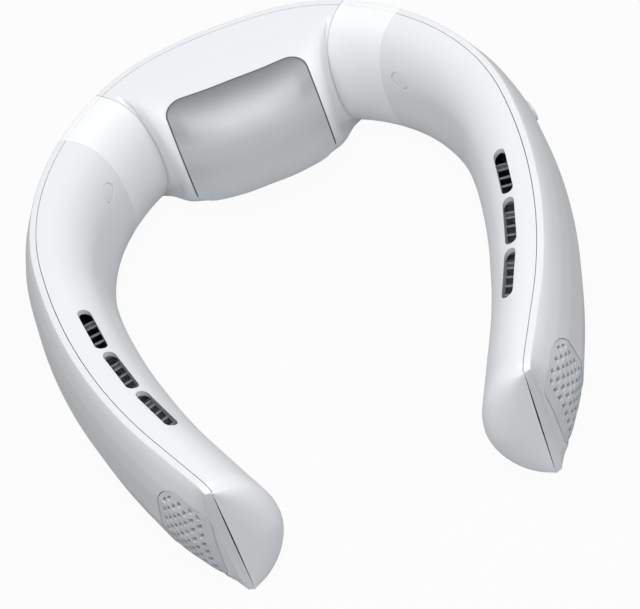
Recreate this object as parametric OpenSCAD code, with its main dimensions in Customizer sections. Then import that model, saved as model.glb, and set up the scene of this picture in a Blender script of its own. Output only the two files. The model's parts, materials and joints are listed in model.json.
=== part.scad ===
// Electric neck fan: a horseshoe that rests on the shoulders, open at the front (-Y).
// The back section holds a cooling plate, two soft sleeves hide the arm hinges,
// and each arm holds a battery and a blower that feeds three slots in its top.

/* [Case] */
// Height of the case
case_h = 55; // [53:0.5:58]
// Radius of the rim round the nape
back_r = 85.5; // [82:0.5:92]
// Radius of the rim along each arm
arm_r = 199; // [180:1:240]
// Angle that the nape arc turns to each side
back_sweep = 88; // [85:1:91]
// Angle that each arm arc turns
arm_sweep = 27.2; // [26:0.1:29]
// Length of the straight end of each arm
tip_straight = 28; // [24:0.5:30]
// How far the rim is flattened at the nape
back_flat = 2.4; // [0:0.1:4]
// How far the side wall bulges past the rim
side_bulge = 7.4; // [6.8:0.1:9]
// Depth of the back section, rim to cooling plate
center_depth = 47; // [46:0.5:50]
// Depth of the case at the sleeves
sleeve_depth = 18.2; // [18:0.1:19.5]
// Depth of the case at the air slots
arm_depth = 21.8; // [21.4:0.1:23]
// Depth of the case at the tips
tip_depth = 20; // [19.4:0.1:21]
// Wall of the plastic shells
wall = 1.9; // [1.6:0.1:2]
// Width of the rim between its edge and the seam
rim_lip = 2.5; // [2.4:0.1:3]
// Width of the seam between inner and outer shell
seam_gap = 0.25; // [0.15:0.05:0.35]

/* [Sleeves and hinges] */
// Place of the sleeves, along the rim from the nape
sleeve_start = 49; // [48:0.5:51]
// Length of each sleeve along the rim
sleeve_len = 22.5; // [21:0.5:24]
// Gap at each end of a sleeve
sleeve_gap = 0.3; // [0.2:0.05:0.4]
// Diameter of the hinge pins
pin_d = 4; // [3:0.5:5]
// Outer diameter of the hinge knuckles
knuckle_d = 9; // [8:0.5:10]
// Radial clearance of each moving knuckle on its pin
pin_clearance = 0.05; // [0.02:0.01:0.09]

/* [Air slots] */
// Length of a slot
slot_len = 20; // [16:0.5:20.5]
// Width of a slot
slot_w = 4.2; // [3.4:0.1:4.6]
// Pitch of the slots along the rim
slot_pitch = 23.2; // [22.8:0.1:23.6]
// Distance of the first slot from the rim
slot_inset = 11; // [10.5:0.1:11.3]
// Step of each next slot away from the rim
slot_drift = 0.4; // [0:0.1:0.5]

/* [Grilles] */
// Width of the intake grille
grille_w = 20.2; // [18.6:0.2:20.6]
// Height of the intake grille
grille_h = 44.5; // [40:0.5:44.5]
// Gap round the intake grille
grille_gap = 0.25; // [0.15:0.05:0.35]
// Rows of holes in a grille
grille_rows = 17; // [15:1:17]
// Width of a grille hole
hole_w = 1.5; // [1.2:0.1:1.8]
// Height of a grille hole
hole_h = 2.5; // [2:0.1:2.8]

/* [Cooling plate] */
// Width of the cooling plate
plate_w = 51.6; // [49:0.2:52]
// Corner radius of the cooling plate
plate_corner = 7; // [5:0.5:8]
// How far the plate stands proud of the shell
plate_proud = 0.6; // [0.3:0.1:0.9]
// Thickness of the plate
plate_t = 2; // [1.6:0.1:2.2]
// Width of the seal round the plate
gasket_w = 0.9; // [0.7:0.1:1.2]

/* [Blowers] */
// Radius of a blower impeller
impeller_r = 14.5; // [13:0.5:14.5]
// Radius of a blower housing
blower_r = 17.5; // [17:0.1:17.6]
// Depth of a blower housing
blower_t = 10; // [9.5:0.1:10]
// Blades of a blower impeller
blower_blades = 22; // [16:1:26]

/* [Buttons and port] */
// Diameter of the power button
power_d = 10; // [9:0.5:11]
// Diameter of the mode button
mode_d = 8; // [7:0.5:9]
// Travel of the buttons
button_travel = 0.8; // [0.5:0.1:0.9]
// Clearance round the buttons
button_clearance = 0.08; // [0.06:0.01:0.1]

/* [Hidden] */
DEG = 180 / PI;
overrun = 1;
seam_turn = 45;
$fn = 48;

// Stations along the rim, counted in millimetres from the nape
back_len = back_r * back_sweep / DEG;
straight_s = back_len + arm_r * arm_sweep / DEG;
half_len = straight_s + tip_straight;
sleeve_end = sleeve_start + sleeve_len;
arm_len = half_len - sleeve_start;
flat_turn = 30;
flat_len = back_r * flat_turn / DEG;
mid_z = case_h / 2;
arm_center = -(arm_r - back_r) * [sin(back_sweep), cos(back_sweep)];

// Form of the case: each pair is a place and its share or angle at that place
center_turn_shares = [[0, 0], [0.55, 0], [0.67, 5], [0.775, 12.7], [0.88, 25], [1, 46.8]];
center_depth_shares = [[0, 1], [0.2, 0.985], [0.41, 0.878], [0.55, 0.72], [0.67, 0.58],
    [0.775, 0.405], [0.88, 0.143], [1, 0]];
arm_turn_shares = [[0, -14], [0.11, -5], [0.2, 0], [0.81, 0], [1, 12]];
arm_rise_shares = [[0, 0], [0.1, 0.08], [0.25, 0.36], [0.4, 0.64], [0.6, 1], [1, 1]];
tip_fall_shares = [[0, 0], [0.7, 0], [0.8, 0.42], [0.87, 0.85], [0.94, 0.95], [1, 1]];
bulge_shares = [[0, 1], [0.72, 1], [0.77, 1], [0.86, 1.1], [0.93, 1.24], [0.98, 0.95], [1, 0.18]];
top_shares = [[0, 1], [0.974, 1], [0.98, 1], [0.992, 0.985], [1, 0.94]];
round_shares = [[0, 2.4], [0.86, 2.4], [1, 2.1]];
low_round_shares = [[0, 2.1], [0.3, 2.15], [0.45, 2.4], [0.8, 2.4], [1, 1.85]];
facet_shares = [[0.55, 0.845], [0.8, 0.73], [1, 0.5], [0.8, 0.27], [0.55, 0.155]];
tip_turn = 44;
tip_shares = [0.3, 0.55, 0.75, 0.88, 0.96, 1];
tip_flat_shares = [0.5, 0.8];
tip_solid_share = 0.8;
tip_edge = 0.5;
tip_fill_share = 0.9;
fill_shares = [0, 0.2, 0.35, 0.5, 0.65, 0.8, 1];
profile_steps = 16;
center_steps = 13;
center_fill_steps = 7;
arm_steps = 24;
end_len = 9;
end_shares = [0.35, 0.62, 0.82, 1];
arm_fill_steps = 12;
sleeve_steps = 6;
cover_steps = 10;

// Hinges
hinge_share = 0.49;
hinge_s = sleeve_start + hinge_share * sleeve_len;
pin_inset = 8;
knuckle_gap = 0.3;
pin_fit = 0.02;
hinge_low = 10;
knuckle_h = 9.5;
web_t = 2.2;
leaf_t = 4;
leaf_w = 11;
arm_leaf_back = 8;
arm_leaf_s = sleeve_end + arm_leaf_back;
center_leaf_back = 12.5;
center_leaf_s = sleeve_start - center_leaf_back;
leaf_inset = 6;
leaf_h = 34;
hinge_top = case_h - hinge_low;
center_screw_z = 10;

// Fasteners
screw_d = 2.2;
screw_head_d = 4.2;
screw_head_h = 1.6;
screw_len = 10;
driver_d = 1.6;
driver_depth = 0.9;
boss_d = 8;
boss_floor = 3;
plug_d = 6.6;
plug_gap = 0.2;
plug_rise = 11.5;
plug_z = mid_z + plug_rise;
plug_seat = leaf_inset + leaf_t + boss_floor + screw_head_h + plug_gap;

// Battery and its cradle
battery_back = 42;
battery_s = sleeve_end + battery_back;
battery_l = 46;
battery_h = 36;
battery_t = 10;
battery_gap = 0.2;
battery_edge = 2;
cradle_t = 1.2;
cradle_l = 35;
cradle_back = 0.6;
cradle_lip = 6;
post_w = 4;
cradle_post_x = 14.5;
cradle_post_z = 14;

// Boards behind the side wall
board_l = 38;
board_h = 18;
board_t = 1.2;
board_post_x = 16.5;
board_post_z = 6.5;
power_x = -8;
mode_x = 7.5;
flange_w = 0.9;
flange_t = 0.7;
flange_back = 0.2;
guide_w = 1.3;
button_proud = 0.8;
dome_d = 5;
dome_h = 0.35;
dome_gap = 0.05;
flange_y = board_t + dome_h + dome_gap + button_travel + flange_t + flange_back;
lens_d = 2.6;
lens_z = 7;
port_w = 8.94;
port_h = 3.16;
port_wall = 0.3;
port_gap = 0.2;
port_tongue_t = 0.7;
port_tongue_w = 6.7;
port_tongue_l = 4.6;

// Air path
slot_count = 3;
slot_back = 97;
first_slot_s = half_len - slot_back;
vane_l = 18.8;
vane_w = 5.6;
vane_h = 2.2;
vane_drop = 8;
vane_top = case_h - vane_drop;
vane_wall = 0.8;
vane_count = 5;
vane_tilt = 35;
blower_back = 21.5;
blower_drop = 0.5;
blower_s = half_len - blower_back;
blower_z = mid_z - blower_drop;
blower_y = -2.6;
blower_wall = 1.2;
inlet_r = 11;
duct_wall = 1.2;
outlet_h = 14;
outlet_l = 22;
outlet_drop = 1.2;
pad_w = 14;
pad_h = 12;
hub_r = 7.4;
hub_wall = 0.9;
impeller_h = 5.8;
impeller_lift = 1.2;
blade_t = 0.6;
blade_root = 9.2;
blade_tilt = 28;
rim_t = 1.1;
shaft_d = 1.5;
shaft_clearance = 0.04;
stator_r = 5.6;
stator_h = 3.6;
motor_base_r = 6.6;
motor_base_t = 1;
grille_back = 12.4;
grille_drop = 2.4;
grille_s = half_len - grille_back;
grille_z = mid_z - grille_drop;
grille_lean = 4;
grille_set = 0.25;
grille_t = wall - grille_set;
grille_seat = 0.3;
hole_pitch = 4.6;
row_pitch = 2.3;
grille_edge = 1.6;
grille_top = side_bulge * max([for (q = bulge_shares) q[1]]) + overrun;

// Cooling stack in the back section
plate_top = 62;
plate_low = -27;
plate_steps = 10;
plate_columns = 8;
plate_curve_share = 0.72;
sink_margin = 10.5;
sink_w = case_h - 2 * sink_margin;
stack_gap = 0.3;
tile_inset = 3;
tile_w = sink_w - 2 * tile_inset;
tile_t = 3.6;
sink_base = 3;
fin_count = 10;
fin_t = 1.1;
fin_h = 12;
fan_w = sink_w;
fan_t = 10;
fan_corner = 3;
fan_rim = 1.5;
fan_bore = fan_w - 2 * fan_rim;
fan_hub_r = 6.5;
fan_stator_r = 5.2;
fan_blades = 7;
fan_blade_t = 0.8;
fan_blade_tilt = 38;
fan_tip_gap = 0.8;
strut_w = 2.4;
strut_t = 1.4;
strut_count = 3;
main_board_l = 34;
main_board_w = 20;
main_board_z = 6;
plate_seat = 0.03;
chip_l = 8;
chip_pitch = 13;
chip_count = 3;
sink_rib_w = 4;
vent_count = 9;
vent_w = 1.8;
vent_h = 22;
vent_pitch = 4.4;

// Smooth curve through a table of places and values
function knot(t, x, i = 0) = i >= len(t) - 2 || x < t[i + 1][0] ? i : knot(t, x, i + 1);
function rate(t, i) = i == 0 || i == len(t) - 1 ? 0
    : (t[i + 1][1] - t[i - 1][1]) / (t[i + 1][0] - t[i - 1][0]);
function curve(t, x) =
    let (i = knot(t, x), h = t[i + 1][0] - t[i][0], u = min(1, max(0, (x - t[i][0]) / h)))
    t[i][1] * (2 * u * u * u - 3 * u * u + 1) + t[i + 1][1] * (3 * u * u - 2 * u * u * u)
    + h * rate(t, i) * (u * u * u - 2 * u * u + u) + h * rate(t, i + 1) * (u * u * u - u * u);

// Rim line of one side, and the directions at a station
function turn(s) = s <= back_len ? s / back_r * DEG
    : back_sweep + (min(s, straight_s) - back_len) / arm_r * DEG;
function out_dir(s) = [sin(turn(s)), cos(turn(s))];
function tip_dir(s) = [cos(turn(s)), -sin(turn(s))];
function flat_drop(s) = s < flat_len ? back_flat * pow(cos(90 * s / flat_len), 2) : 0;
function bare_rim(s) = s <= back_len ? (back_r - flat_drop(s)) * out_dir(s)
    : arm_center + arm_r * out_dir(s) + max(0, s - straight_s) * tip_dir(s);
function arm_share(s) = (s - sleeve_start) / arm_len;
function fan_turn(s) = s < sleeve_start
    ? turn(s) - curve(center_turn_shares, s / sleeve_start)
    : curve(arm_turn_shares, arm_share(s));
function in_dir(s, f) = -cos(f) * out_dir(s) + sin(f) * tip_dir(s);

// Depth, bulge and roundness of the case at a station
function depth(s) = s < sleeve_start
    ? sleeve_depth + (center_depth - sleeve_depth) * curve(center_depth_shares, s / sleeve_start)
    : sleeve_depth + (arm_depth - sleeve_depth) * curve(arm_rise_shares, arm_share(s))
        + (tip_depth - arm_depth) * curve(tip_fall_shares, arm_share(s));
function bulge(s) = side_bulge * curve(bulge_shares, s / half_len);
function roundness(s) = [curve(round_shares, s / half_len), curve(low_round_shares, s / half_len)];
function tip_w(k) = max(tip_edge, (tip_depth - rim_lip) * sqrt(1 - k * k));
function tip_w_in(k) = max(tip_edge / 2, k < tip_solid_share
    ? (tip_depth - wall - rim_lip) * sqrt(1 - pow(k / tip_solid_share, 2)) : 0);
function tip_round(k) = roundness(half_len) - k * tip_flat_shares;
function tip_angle(k) = fan_turn(half_len) + (tip_turn - fan_turn(half_len)) * k;
function tip_wall(k) = wall + tip_fill_share * k * (rim_lip - seam_gap - wall);

// The shape is centred front to back on the origin
tip_reach = min([for (k = tip_shares)
    (bare_rim(half_len) + (rim_lip + tip_w(k)) * in_dir(half_len, tip_angle(k)))[1]]);
back_reach = back_r - back_flat + side_bulge;
shift_y = -(tip_reach + back_reach) / 2;
function rim(s) = bare_rim(s) + [0, shift_y];

// Outlines of a section: distance in from the rim, and height
function across(t, p) = pow(cos(t), 2 / (t < 0 ? p[1] : p[0]));
function up(t, p) = sign(sin(t)) * pow(abs(sin(t)), 2 / (t < 0 ? p[1] : p[0]));
function half_round(w, h, p) = [for (i = [0:profile_steps]) let (t = 90 - 180 * i / profile_steps)
    [rim_lip + w * across(t, p), mid_z + h * up(t, p)]];
function reverse(v) = [for (i = [len(v) - 1:-1:0]) v[i]];
function facets(b, inset) = [for (q = facet_shares)
    [inset - b * q[0], mid_z + (q[1] * case_h - mid_z) * (1 - inset / mid_z)]];
function inner_outline(w, w_in, p) = concat(half_round(w, mid_z, p),
    reverse(half_round(w_in, mid_z - wall, p)));
function outer_outline(b, inset, thick, lip) = concat(
    [[lip, case_h - inset - thick], [inset + thick, case_h - inset - thick]], facets(b, inset + thick),
    [[inset + thick, inset + thick], [lip, inset + thick], [lip, inset], [inset, inset]],
    reverse(facets(b, inset)), [[inset, case_h - inset], [lip, case_h - inset]]);
function full_outline(s, inset) = concat(
    half_round(depth(s) - rim_lip - inset, mid_z - inset, roundness(s)),
    [[inset, inset]], reverse(facets(bulge(s), inset)), [[inset, case_h - inset]]);

// A section placed at a station of the right side, or of the left where s is negative
function lift(s, z) = mid_z + (z - mid_z) * (z > mid_z ? curve(top_shares, s / half_len) : 1);
function ring(s, f, outline) = [for (q = outline)
    let (p = rim(abs(s)) + q[0] * in_dir(abs(s), f)) [s < 0 ? -p[0] : p[0], p[1], lift(abs(s), q[1])]];
function inner_ring(s) = ring(s, fan_turn(abs(s)), inner_outline(depth(abs(s)) - rim_lip,
    depth(abs(s)) - rim_lip - wall, roundness(abs(s))));
function outer_ring(s) = ring(s, fan_turn(abs(s)),
    outer_outline(bulge(abs(s)), 0, wall, rim_lip - seam_gap));
function stations(a, b, n) = [for (i = [0:n]) a + (b - a) * i / n];
center_s = stations(-sleeve_start, sleeve_start, 2 * center_steps);
center_fill_s = stations(-sleeve_start, sleeve_start, 2 * center_fill_steps);
arm_s = concat(stations(sleeve_end, half_len - end_len, arm_steps),
    [for (q = end_shares) half_len - (1 - q) * end_len]);
arm_fill_s = stations(sleeve_end, half_len, arm_fill_steps);
sleeve_s = stations(sleeve_start + sleeve_gap, sleeve_end - sleeve_gap, sleeve_steps);

// A closed solid through rings of points, each with as many on its way out as on its way back
module loft(rings) {
    n = len(rings[0]);
    m = len(rings);
    sides = [for (i = [0:m - 2], j = [0:n - 1])
        let (a = i * n + j, b = i * n + (j + 1) % n) each [[a, b + n, b], [a, a + n, b + n]]];
    first = [for (j = [0:n / 2 - 2]) each [[j, j + 1, n - 1 - j], [j + 1, n - 2 - j, n - 1 - j]]];
    last = [for (f = first) [for (k = [2, 1, 0]) (m - 1) * n + f[k]]];
    polyhedron([for (r = rings) each r], concat(sides, first, last), convexity = 10);
}

// A closed band through pairs of rings, each inner ring lying inside its outer ring
module band(outer, inner) {
    n = len(outer[0]);
    m = len(outer);
    sides = [for (i = [0:m - 2], j = [0:n - 1])
        let (a = i * n + j, b = i * n + (j + 1) % n) each [[a, b + n, b], [a, a + n, b + n]]];
    inside = [for (f = sides) [f[2] + m * n, f[1] + m * n, f[0] + m * n]];
    first = [for (a = [0:n - 1]) let (b = (a + 1) % n)
        each [[a, b, b + m * n], [a, b + m * n, a + m * n]]];
    last = [for (f = first) [for (k = [2, 1, 0]) f[k] + (m - 1) * n]];
    polyhedron([for (r = concat(outer, inner)) each r],
        concat(sides, inside, first, last), convexity = 10);
}

// The inside of the case, cut back to half a wall, that posts and pads are trimmed to
module inner_fill(list) {
    loft([for (s = list) ring(s, fan_turn(abs(s)), inner_outline(depth(abs(s)) - rim_lip - wall / 2,
        0, roundness(abs(s))))]);
}
module outer_fill(list) {
    loft([for (s = list) ring(s, fan_turn(abs(s)), concat(
        [for (q = reverse(fill_shares)) [sleeve_depth / 2, wall / 2 + q * (case_h - wall)]],
        [[wall / 2, wall / 2]], reverse(facets(bulge(abs(s)), wall / 2)),
        [[wall / 2, case_h - wall / 2]]))]);
}

// Frames at a station: x runs along the rim towards the tip, y outward and z up
module place(s) {
    translate([rim(s)[0], rim(s)[1], 0]) rotate([0, 0, -turn(s)]) children();
}
module side(left) {
    if (left) mirror([1, 0, 0]) children();
    else children();
}
module box(x0, x1, y0, y1, z0, z1) {
    translate([x0, y0, z0]) cube([x1 - x0, y1 - y0, z1 - z0]);
}
module rod_y(d, y0, y1) {
    translate([0, y0, 0]) rotate([-90, 0, 0]) rotate([0, 0, seam_turn]) cylinder(d = d, h = y1 - y0);
}
module post(x, z, y0, y1) {
    box(x - post_w / 2, x + post_w / 2, y0, y1, z - post_w / 2, z + post_w / 2);
}
module pill(w, h) {
    k = min(w, h);
    square([w > h ? w - k : w, w > h ? h : h - k], center = true);
    for (e = [-1, 1])
        translate([w > h ? e * (w - k) / 2 : 0, w > h ? 0 : e * (h - k) / 2]) circle(d = k);
}
module pill_y(w, h, y0, y1) {
    translate([0, y1, 0]) rotate([90, 0, 0]) linear_extrude(y1 - y0) pill(w, h);
}

// Screw along y, its head towards +y or -y, with a hexagon driver socket
module screw_y(y_head, length, way) {
    head = y_head + way * screw_head_h;
    difference() {
        union() {
            rod_y(screw_head_d, min(y_head, head), max(y_head, head));
            rod_y(screw_d, min(y_head, y_head - way * length), max(y_head, y_head - way * length));
        }
        translate([0, head, 0]) rotate([way * 90, 0, 0])
            translate([0, 0, -overrun]) cylinder(d = driver_d, h = driver_depth + overrun, $fn = 6);
    }
}

// Hinge places
function pin_at() = rim(hinge_s) - pin_inset * out_dir(hinge_s);
function leaf_at(s) = rim(s) - (leaf_inset + leaf_t / 2) * out_dir(s);
module web(s, z0, z1) {
    a = pin_at();
    b = leaf_at(s);
    translate([a[0], a[1], z0]) rotate([0, 0, atan2(b[1] - a[1], b[0] - a[0])])
        translate([0, -web_t / 2, 0]) cube([norm(b - a), web_t, z1 - z0]);
}
module knuckle(z0, z1) {
    translate([pin_at()[0], pin_at()[1], z0]) cylinder(d = knuckle_d, h = z1 - z0);
}
module pin_bore(d) {
    translate([pin_at()[0], pin_at()[1], -overrun]) cylinder(d = d, h = case_h);
}
module leaf(s) {
    place(s) box(-leaf_w / 2, leaf_w / 2, -leaf_inset - leaf_t, -leaf_inset,
        mid_z - leaf_h / 2, mid_z + leaf_h / 2);
}

// Back section
module center_inner_shell() {
    color([0.93, 0.94, 0.95]) difference() {
        union() {
            loft([for (s = center_s) inner_ring(s)]);
            intersection() {
                inner_fill(center_fill_s);
                for (left = [false, true]) side(left) {
                    difference() {
                        for (z = [-1, 1]) place(center_leaf_s)
                            translate([0, 0, mid_z + z * center_screw_z])
                                rod_y(boss_d, -center_depth, -leaf_inset - leaf_t);
                        box(-sink_w / 2, sink_w / 2, nape_y(2 * center_depth), nape_y(0), 0, case_h);
                    }
                    box(sink_w / 2, sink_w / 2 + sink_rib_w, nape_y(center_depth), fan_y + fan_t,
                        wall, case_h - wall);
                    box(main_board_l / 2 - post_w, main_board_l / 2, main_board_y - main_board_w,
                        main_board_y, 0, main_board_z);
                }
            }
        }
        plate_patch(gasket_w, plate_proud + overrun, -wall - overrun);
        for (left = [false, true], z = [-1, 1]) side(left) place(center_leaf_s)
            translate([0, 0, mid_z + z * center_screw_z]) rod_y(screw_d, -leaf_inset - screw_len, 0);
    }
}
function nape_y(n) = rim(0)[1] - n;
function arc_share(z, p) = pow(1 - pow(z / (mid_z - wall), p), 1 / p);
function wall_y(x, z) = let (s = patch_station(x), w = depth(s) - rim_lip - wall, p = roundness(s))
    rim(s)[1] - rim_lip - w * min(arc_share(z, p[0]), arc_share(z, p[1]));
sink_y = wall_y(sink_w / 2, sink_w / 2) + stack_gap;
block_face = sink_y - tile_t;
fan_y = sink_y + sink_base + fin_h;
main_board_y = wall_y(main_board_l / 2, mid_z - main_board_z) + stack_gap + main_board_w;

module center_outer_shell() {
    color([0.93, 0.94, 0.95]) difference() {
        loft([for (s = center_s) outer_ring(s)]);
        for (i = [0:vent_count - 1]) translate([(i - (vent_count - 1) / 2) * vent_pitch, 0, mid_z])
            pill_y(vent_w, vent_h, nape_y(wall), nape_y(-side_bulge - overrun));
    }
}

// Patch of the back section's curved face, with round corners: grow widens it
function patch_ring(x, grow, off) =
    let (w = plate_w / 2 + grow, r = plate_corner + grow,
        d = max(0, abs(x) - (w - r)), cut = r - sqrt(max(0, r * r - d * d)),
        a = plate_top + (grow - cut) * plate_degree, b = plate_low - (grow - cut) * plate_degree,
        s = patch_station(abs(x)))
    [for (i = [0:plate_steps]) let (t = a + (b - a) * i / plate_steps,
        q = rim_lip + (depth(s) - rim_lip + off) * across(t, roundness(s)))
        [x, rim(s)[1] - q, mid_z + (mid_z + off) * up(t, roundness(s))]];
plate_degree = DEG / (plate_curve_share * center_depth);
function patch_station(x) = asin(min(1, x / back_r)) * back_r / DEG;
module plate_patch(grow, outside, inside) {
    w = plate_w / 2 + grow;
    cols = [for (i = [-plate_columns:plate_columns]) w * sin(90 * i / plate_columns)];
    loft([for (x = cols) concat(patch_ring(x, grow, outside), reverse(patch_ring(x, grow, inside)))]);
}
module cooling_plate() {
    color([0.72, 0.74, 0.76]) union() {
        plate_patch(0, plate_proud, plate_proud - plate_t);
        intersection() {
            box(-tile_w / 2, tile_w / 2, nape_y(center_depth), block_face,
                mid_z - tile_w / 2, mid_z + tile_w / 2);
            plate_patch(0, plate_proud - plate_t / 2, -center_depth / 2);
        }
    }
}
module plate_gasket() {
    color([0.35, 0.36, 0.38]) difference() {
        plate_patch(gasket_w - seam_gap, 0, plate_proud - plate_t);
        plate_patch(plate_seat, overrun, -wall - overrun);
    }
}
module peltier_tile() {
    color([0.95, 0.95, 0.93]) box(-tile_w / 2, tile_w / 2, block_face, sink_y,
        mid_z - tile_w / 2, mid_z + tile_w / 2);
}
module heat_sink() {
    color([0.66, 0.68, 0.7]) {
        box(-sink_w / 2, sink_w / 2, sink_y, sink_y + sink_base, mid_z - sink_w / 2, mid_z + sink_w / 2);
        for (i = [0:fin_count - 1]) let (x = -sink_w / 2 + i * (sink_w - fin_t) / (fin_count - 1))
            box(x, x + fin_t, sink_y, fan_y, mid_z - sink_w / 2, mid_z + sink_w / 2);
    }
}
module cooling_fan_frame() {
    color([0.2, 0.21, 0.22]) translate([0, 0, mid_z]) {
        difference() {
            translate([0, fan_y + fan_t, 0]) rotate([90, 0, 0]) linear_extrude(fan_t) {
                square([fan_w, fan_w - 2 * fan_corner], center = true);
                square([fan_w - 2 * fan_corner, fan_w], center = true);
                for (x = [-1, 1], z = [-1, 1])
                    translate([x, z] * (fan_w / 2 - fan_corner)) circle(r = fan_corner);
            }
            rod_y(fan_bore, fan_y - overrun, fan_y + fan_t + overrun);
        }
        difference() {
            union() {
                rod_y(2 * fan_hub_r, fan_y + fan_t - strut_t, fan_y + fan_t);
                rod_y(2 * fan_stator_r, fan_y + fan_t - strut_t - stator_h, fan_y + fan_t);
                for (i = [0:strut_count - 1]) rotate([0, i * 360 / strut_count, 0])
                    box(0, fan_w / 2 - fan_tip_gap, fan_y + fan_t - strut_t, fan_y + fan_t,
                        -strut_w / 2, strut_w / 2);
            }
            rod_y(shaft_d + 2 * shaft_clearance, fan_y, fan_y + fan_t + overrun);
        }
    }
}
module cooling_fan_rotor() {
    back = fan_y + fan_t - strut_t - knuckle_gap;
    color([0.3, 0.31, 0.33]) translate([0, 0, mid_z]) {
        difference() {
            rod_y(2 * fan_hub_r, fan_y + fan_tip_gap, back);
            rod_y(2 * (fan_hub_r - hub_wall), fan_y + fan_tip_gap + hub_wall, back + overrun);
        }
        rod_y(shaft_d, fan_y + fan_tip_gap, fan_y + fan_t - driver_depth);
        intersection() {
            rod_y(fan_bore - 2 * fan_tip_gap, fan_y + fan_tip_gap, back);
            difference() {
                for (i = [0:fan_blades - 1]) rotate([0, i * 360 / fan_blades, 0])
                    translate([0, (fan_y + fan_tip_gap + back) / 2, 0]) rotate([fan_blade_tilt, 0, 0])
                        box(fan_hub_r - hub_wall, fan_bore / 2, -fan_t / 2, fan_t / 2,
                            -fan_blade_t / 2, fan_blade_t / 2);
                rod_y(2 * (fan_hub_r - hub_wall), fan_y + fan_tip_gap + hub_wall, back + overrun);
            }
        }
    }
}
module center_circuit_board() {
    color([0.1, 0.35, 0.2]) {
        box(-main_board_l / 2, main_board_l / 2, main_board_y - main_board_w, main_board_y,
            main_board_z, main_board_z + board_t);
    }
    color([0.12, 0.12, 0.13]) for (i = [0:chip_count - 1])
        let (x = (i - (chip_count - 1) / 2) * chip_pitch, y = main_board_y - main_board_w / 2)
            box(x - chip_l / 2, x + chip_l / 2, y - chip_l / 2, y + chip_l / 2,
                main_board_z + board_t, main_board_z + 2 * board_t);
}
module center_screws() {
    color([0.6, 0.6, 0.62]) for (left = [false, true], z = [-1, 1]) side(left) place(center_leaf_s)
        translate([0, 0, mid_z + z * center_screw_z]) screw_y(-leaf_inset, screw_len, 1);
}

// Hinges
module center_bracket(left) {
    color([0.55, 0.56, 0.58]) side(left) difference() {
        union() {
            for (z = [[hinge_low, hinge_low + knuckle_h], [hinge_top - knuckle_h, hinge_top]]) {
                knuckle(z[0], z[1]);
                web(center_leaf_s, z[0], z[1]);
            }
            leaf(center_leaf_s);
        }
        pin_bore(pin_d + 2 * pin_fit);
        for (z = [-1, 1]) place(center_leaf_s) translate([0, 0, mid_z + z * center_screw_z])
            rod_y(screw_d, -leaf_inset - leaf_t - overrun, overrun);
    }
}
module arm_bracket(left) {
    color([0.5, 0.51, 0.53]) side(left) difference() {
        union() {
            knuckle(hinge_low + knuckle_h + knuckle_gap, hinge_top - knuckle_h - knuckle_gap);
            web(arm_leaf_s, hinge_low + knuckle_h + knuckle_gap, hinge_top - knuckle_h - knuckle_gap);
            leaf(arm_leaf_s);
        }
        pin_bore(pin_d + 2 * pin_clearance);
        place(arm_leaf_s) translate([0, 0, plug_z])
            rod_y(screw_d, -leaf_inset - leaf_t - overrun, overrun);
    }
}
module hinge_pin(left) {
    color([0.75, 0.76, 0.78]) side(left) translate([pin_at()[0], pin_at()[1], hinge_low])
        cylinder(d = pin_d, h = hinge_top - hinge_low);
}
module sleeve(left) {
    color([0.9, 0.91, 0.92]) side(left)
        band([for (s = sleeve_s) ring(s, fan_turn(s), full_outline(s, 0))],
            [for (s = sleeve_s) ring(s, fan_turn(s), full_outline(s, wall))]);
}

// Arms
module arm_inner_shell(left) {
    pad_y = blower_y - blower_t;
    color([0.94, 0.95, 0.96]) side(left) difference() {
        union() {
            loft(concat([for (s = arm_s) inner_ring(s)], [for (k = tip_shares)
                ring(half_len, tip_angle(k), inner_outline(tip_w(k), tip_w_in(k), tip_round(k)))]));
            intersection() {
                inner_fill(arm_fill_s);
                union() {
                    place(arm_leaf_s) box(-leaf_w / 2, leaf_w / 2, -arm_depth, -leaf_inset - leaf_t,
                        mid_z - leaf_h / 2, mid_z + leaf_h / 2);
                    for (i = [0:slot_count - 1], e = [-1, 1]) place(slot_at(i))
                        box(e * (vane_l - vane_wall) / 2 - vane_wall / 2,
                            e * (vane_l - vane_wall) / 2 + vane_wall / 2,
                            -slot_in(i) - vane_w / 2, -slot_in(i) + vane_w / 2, vane_top, case_h);
                    place(blower_s) box(-pad_w / 2, pad_w / 2, -arm_depth, pad_y,
                        blower_z - pad_h / 2, blower_z + pad_h / 2);
                }
            }
        }
        for (i = [0:slot_count - 1]) place(slot_at(i)) translate([0, -slot_in(i), mid_z])
            linear_extrude(case_h) pill(slot_len, slot_w);
        place(arm_leaf_s) translate([0, 0, plug_z]) {
            rod_y(plug_d + 2 * plug_gap, -2 * arm_depth, -plug_seat);
            rod_y(screw_head_d + 2 * plug_gap, -2 * arm_depth, -leaf_inset - leaf_t - boss_floor);
            rod_y(screw_d, -2 * arm_depth, 0);
        }
    }
}
function slot_at(i) = first_slot_s + slot_len / 2 + i * slot_pitch;
function slot_in(i) = slot_inset + i * slot_drift;

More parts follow.
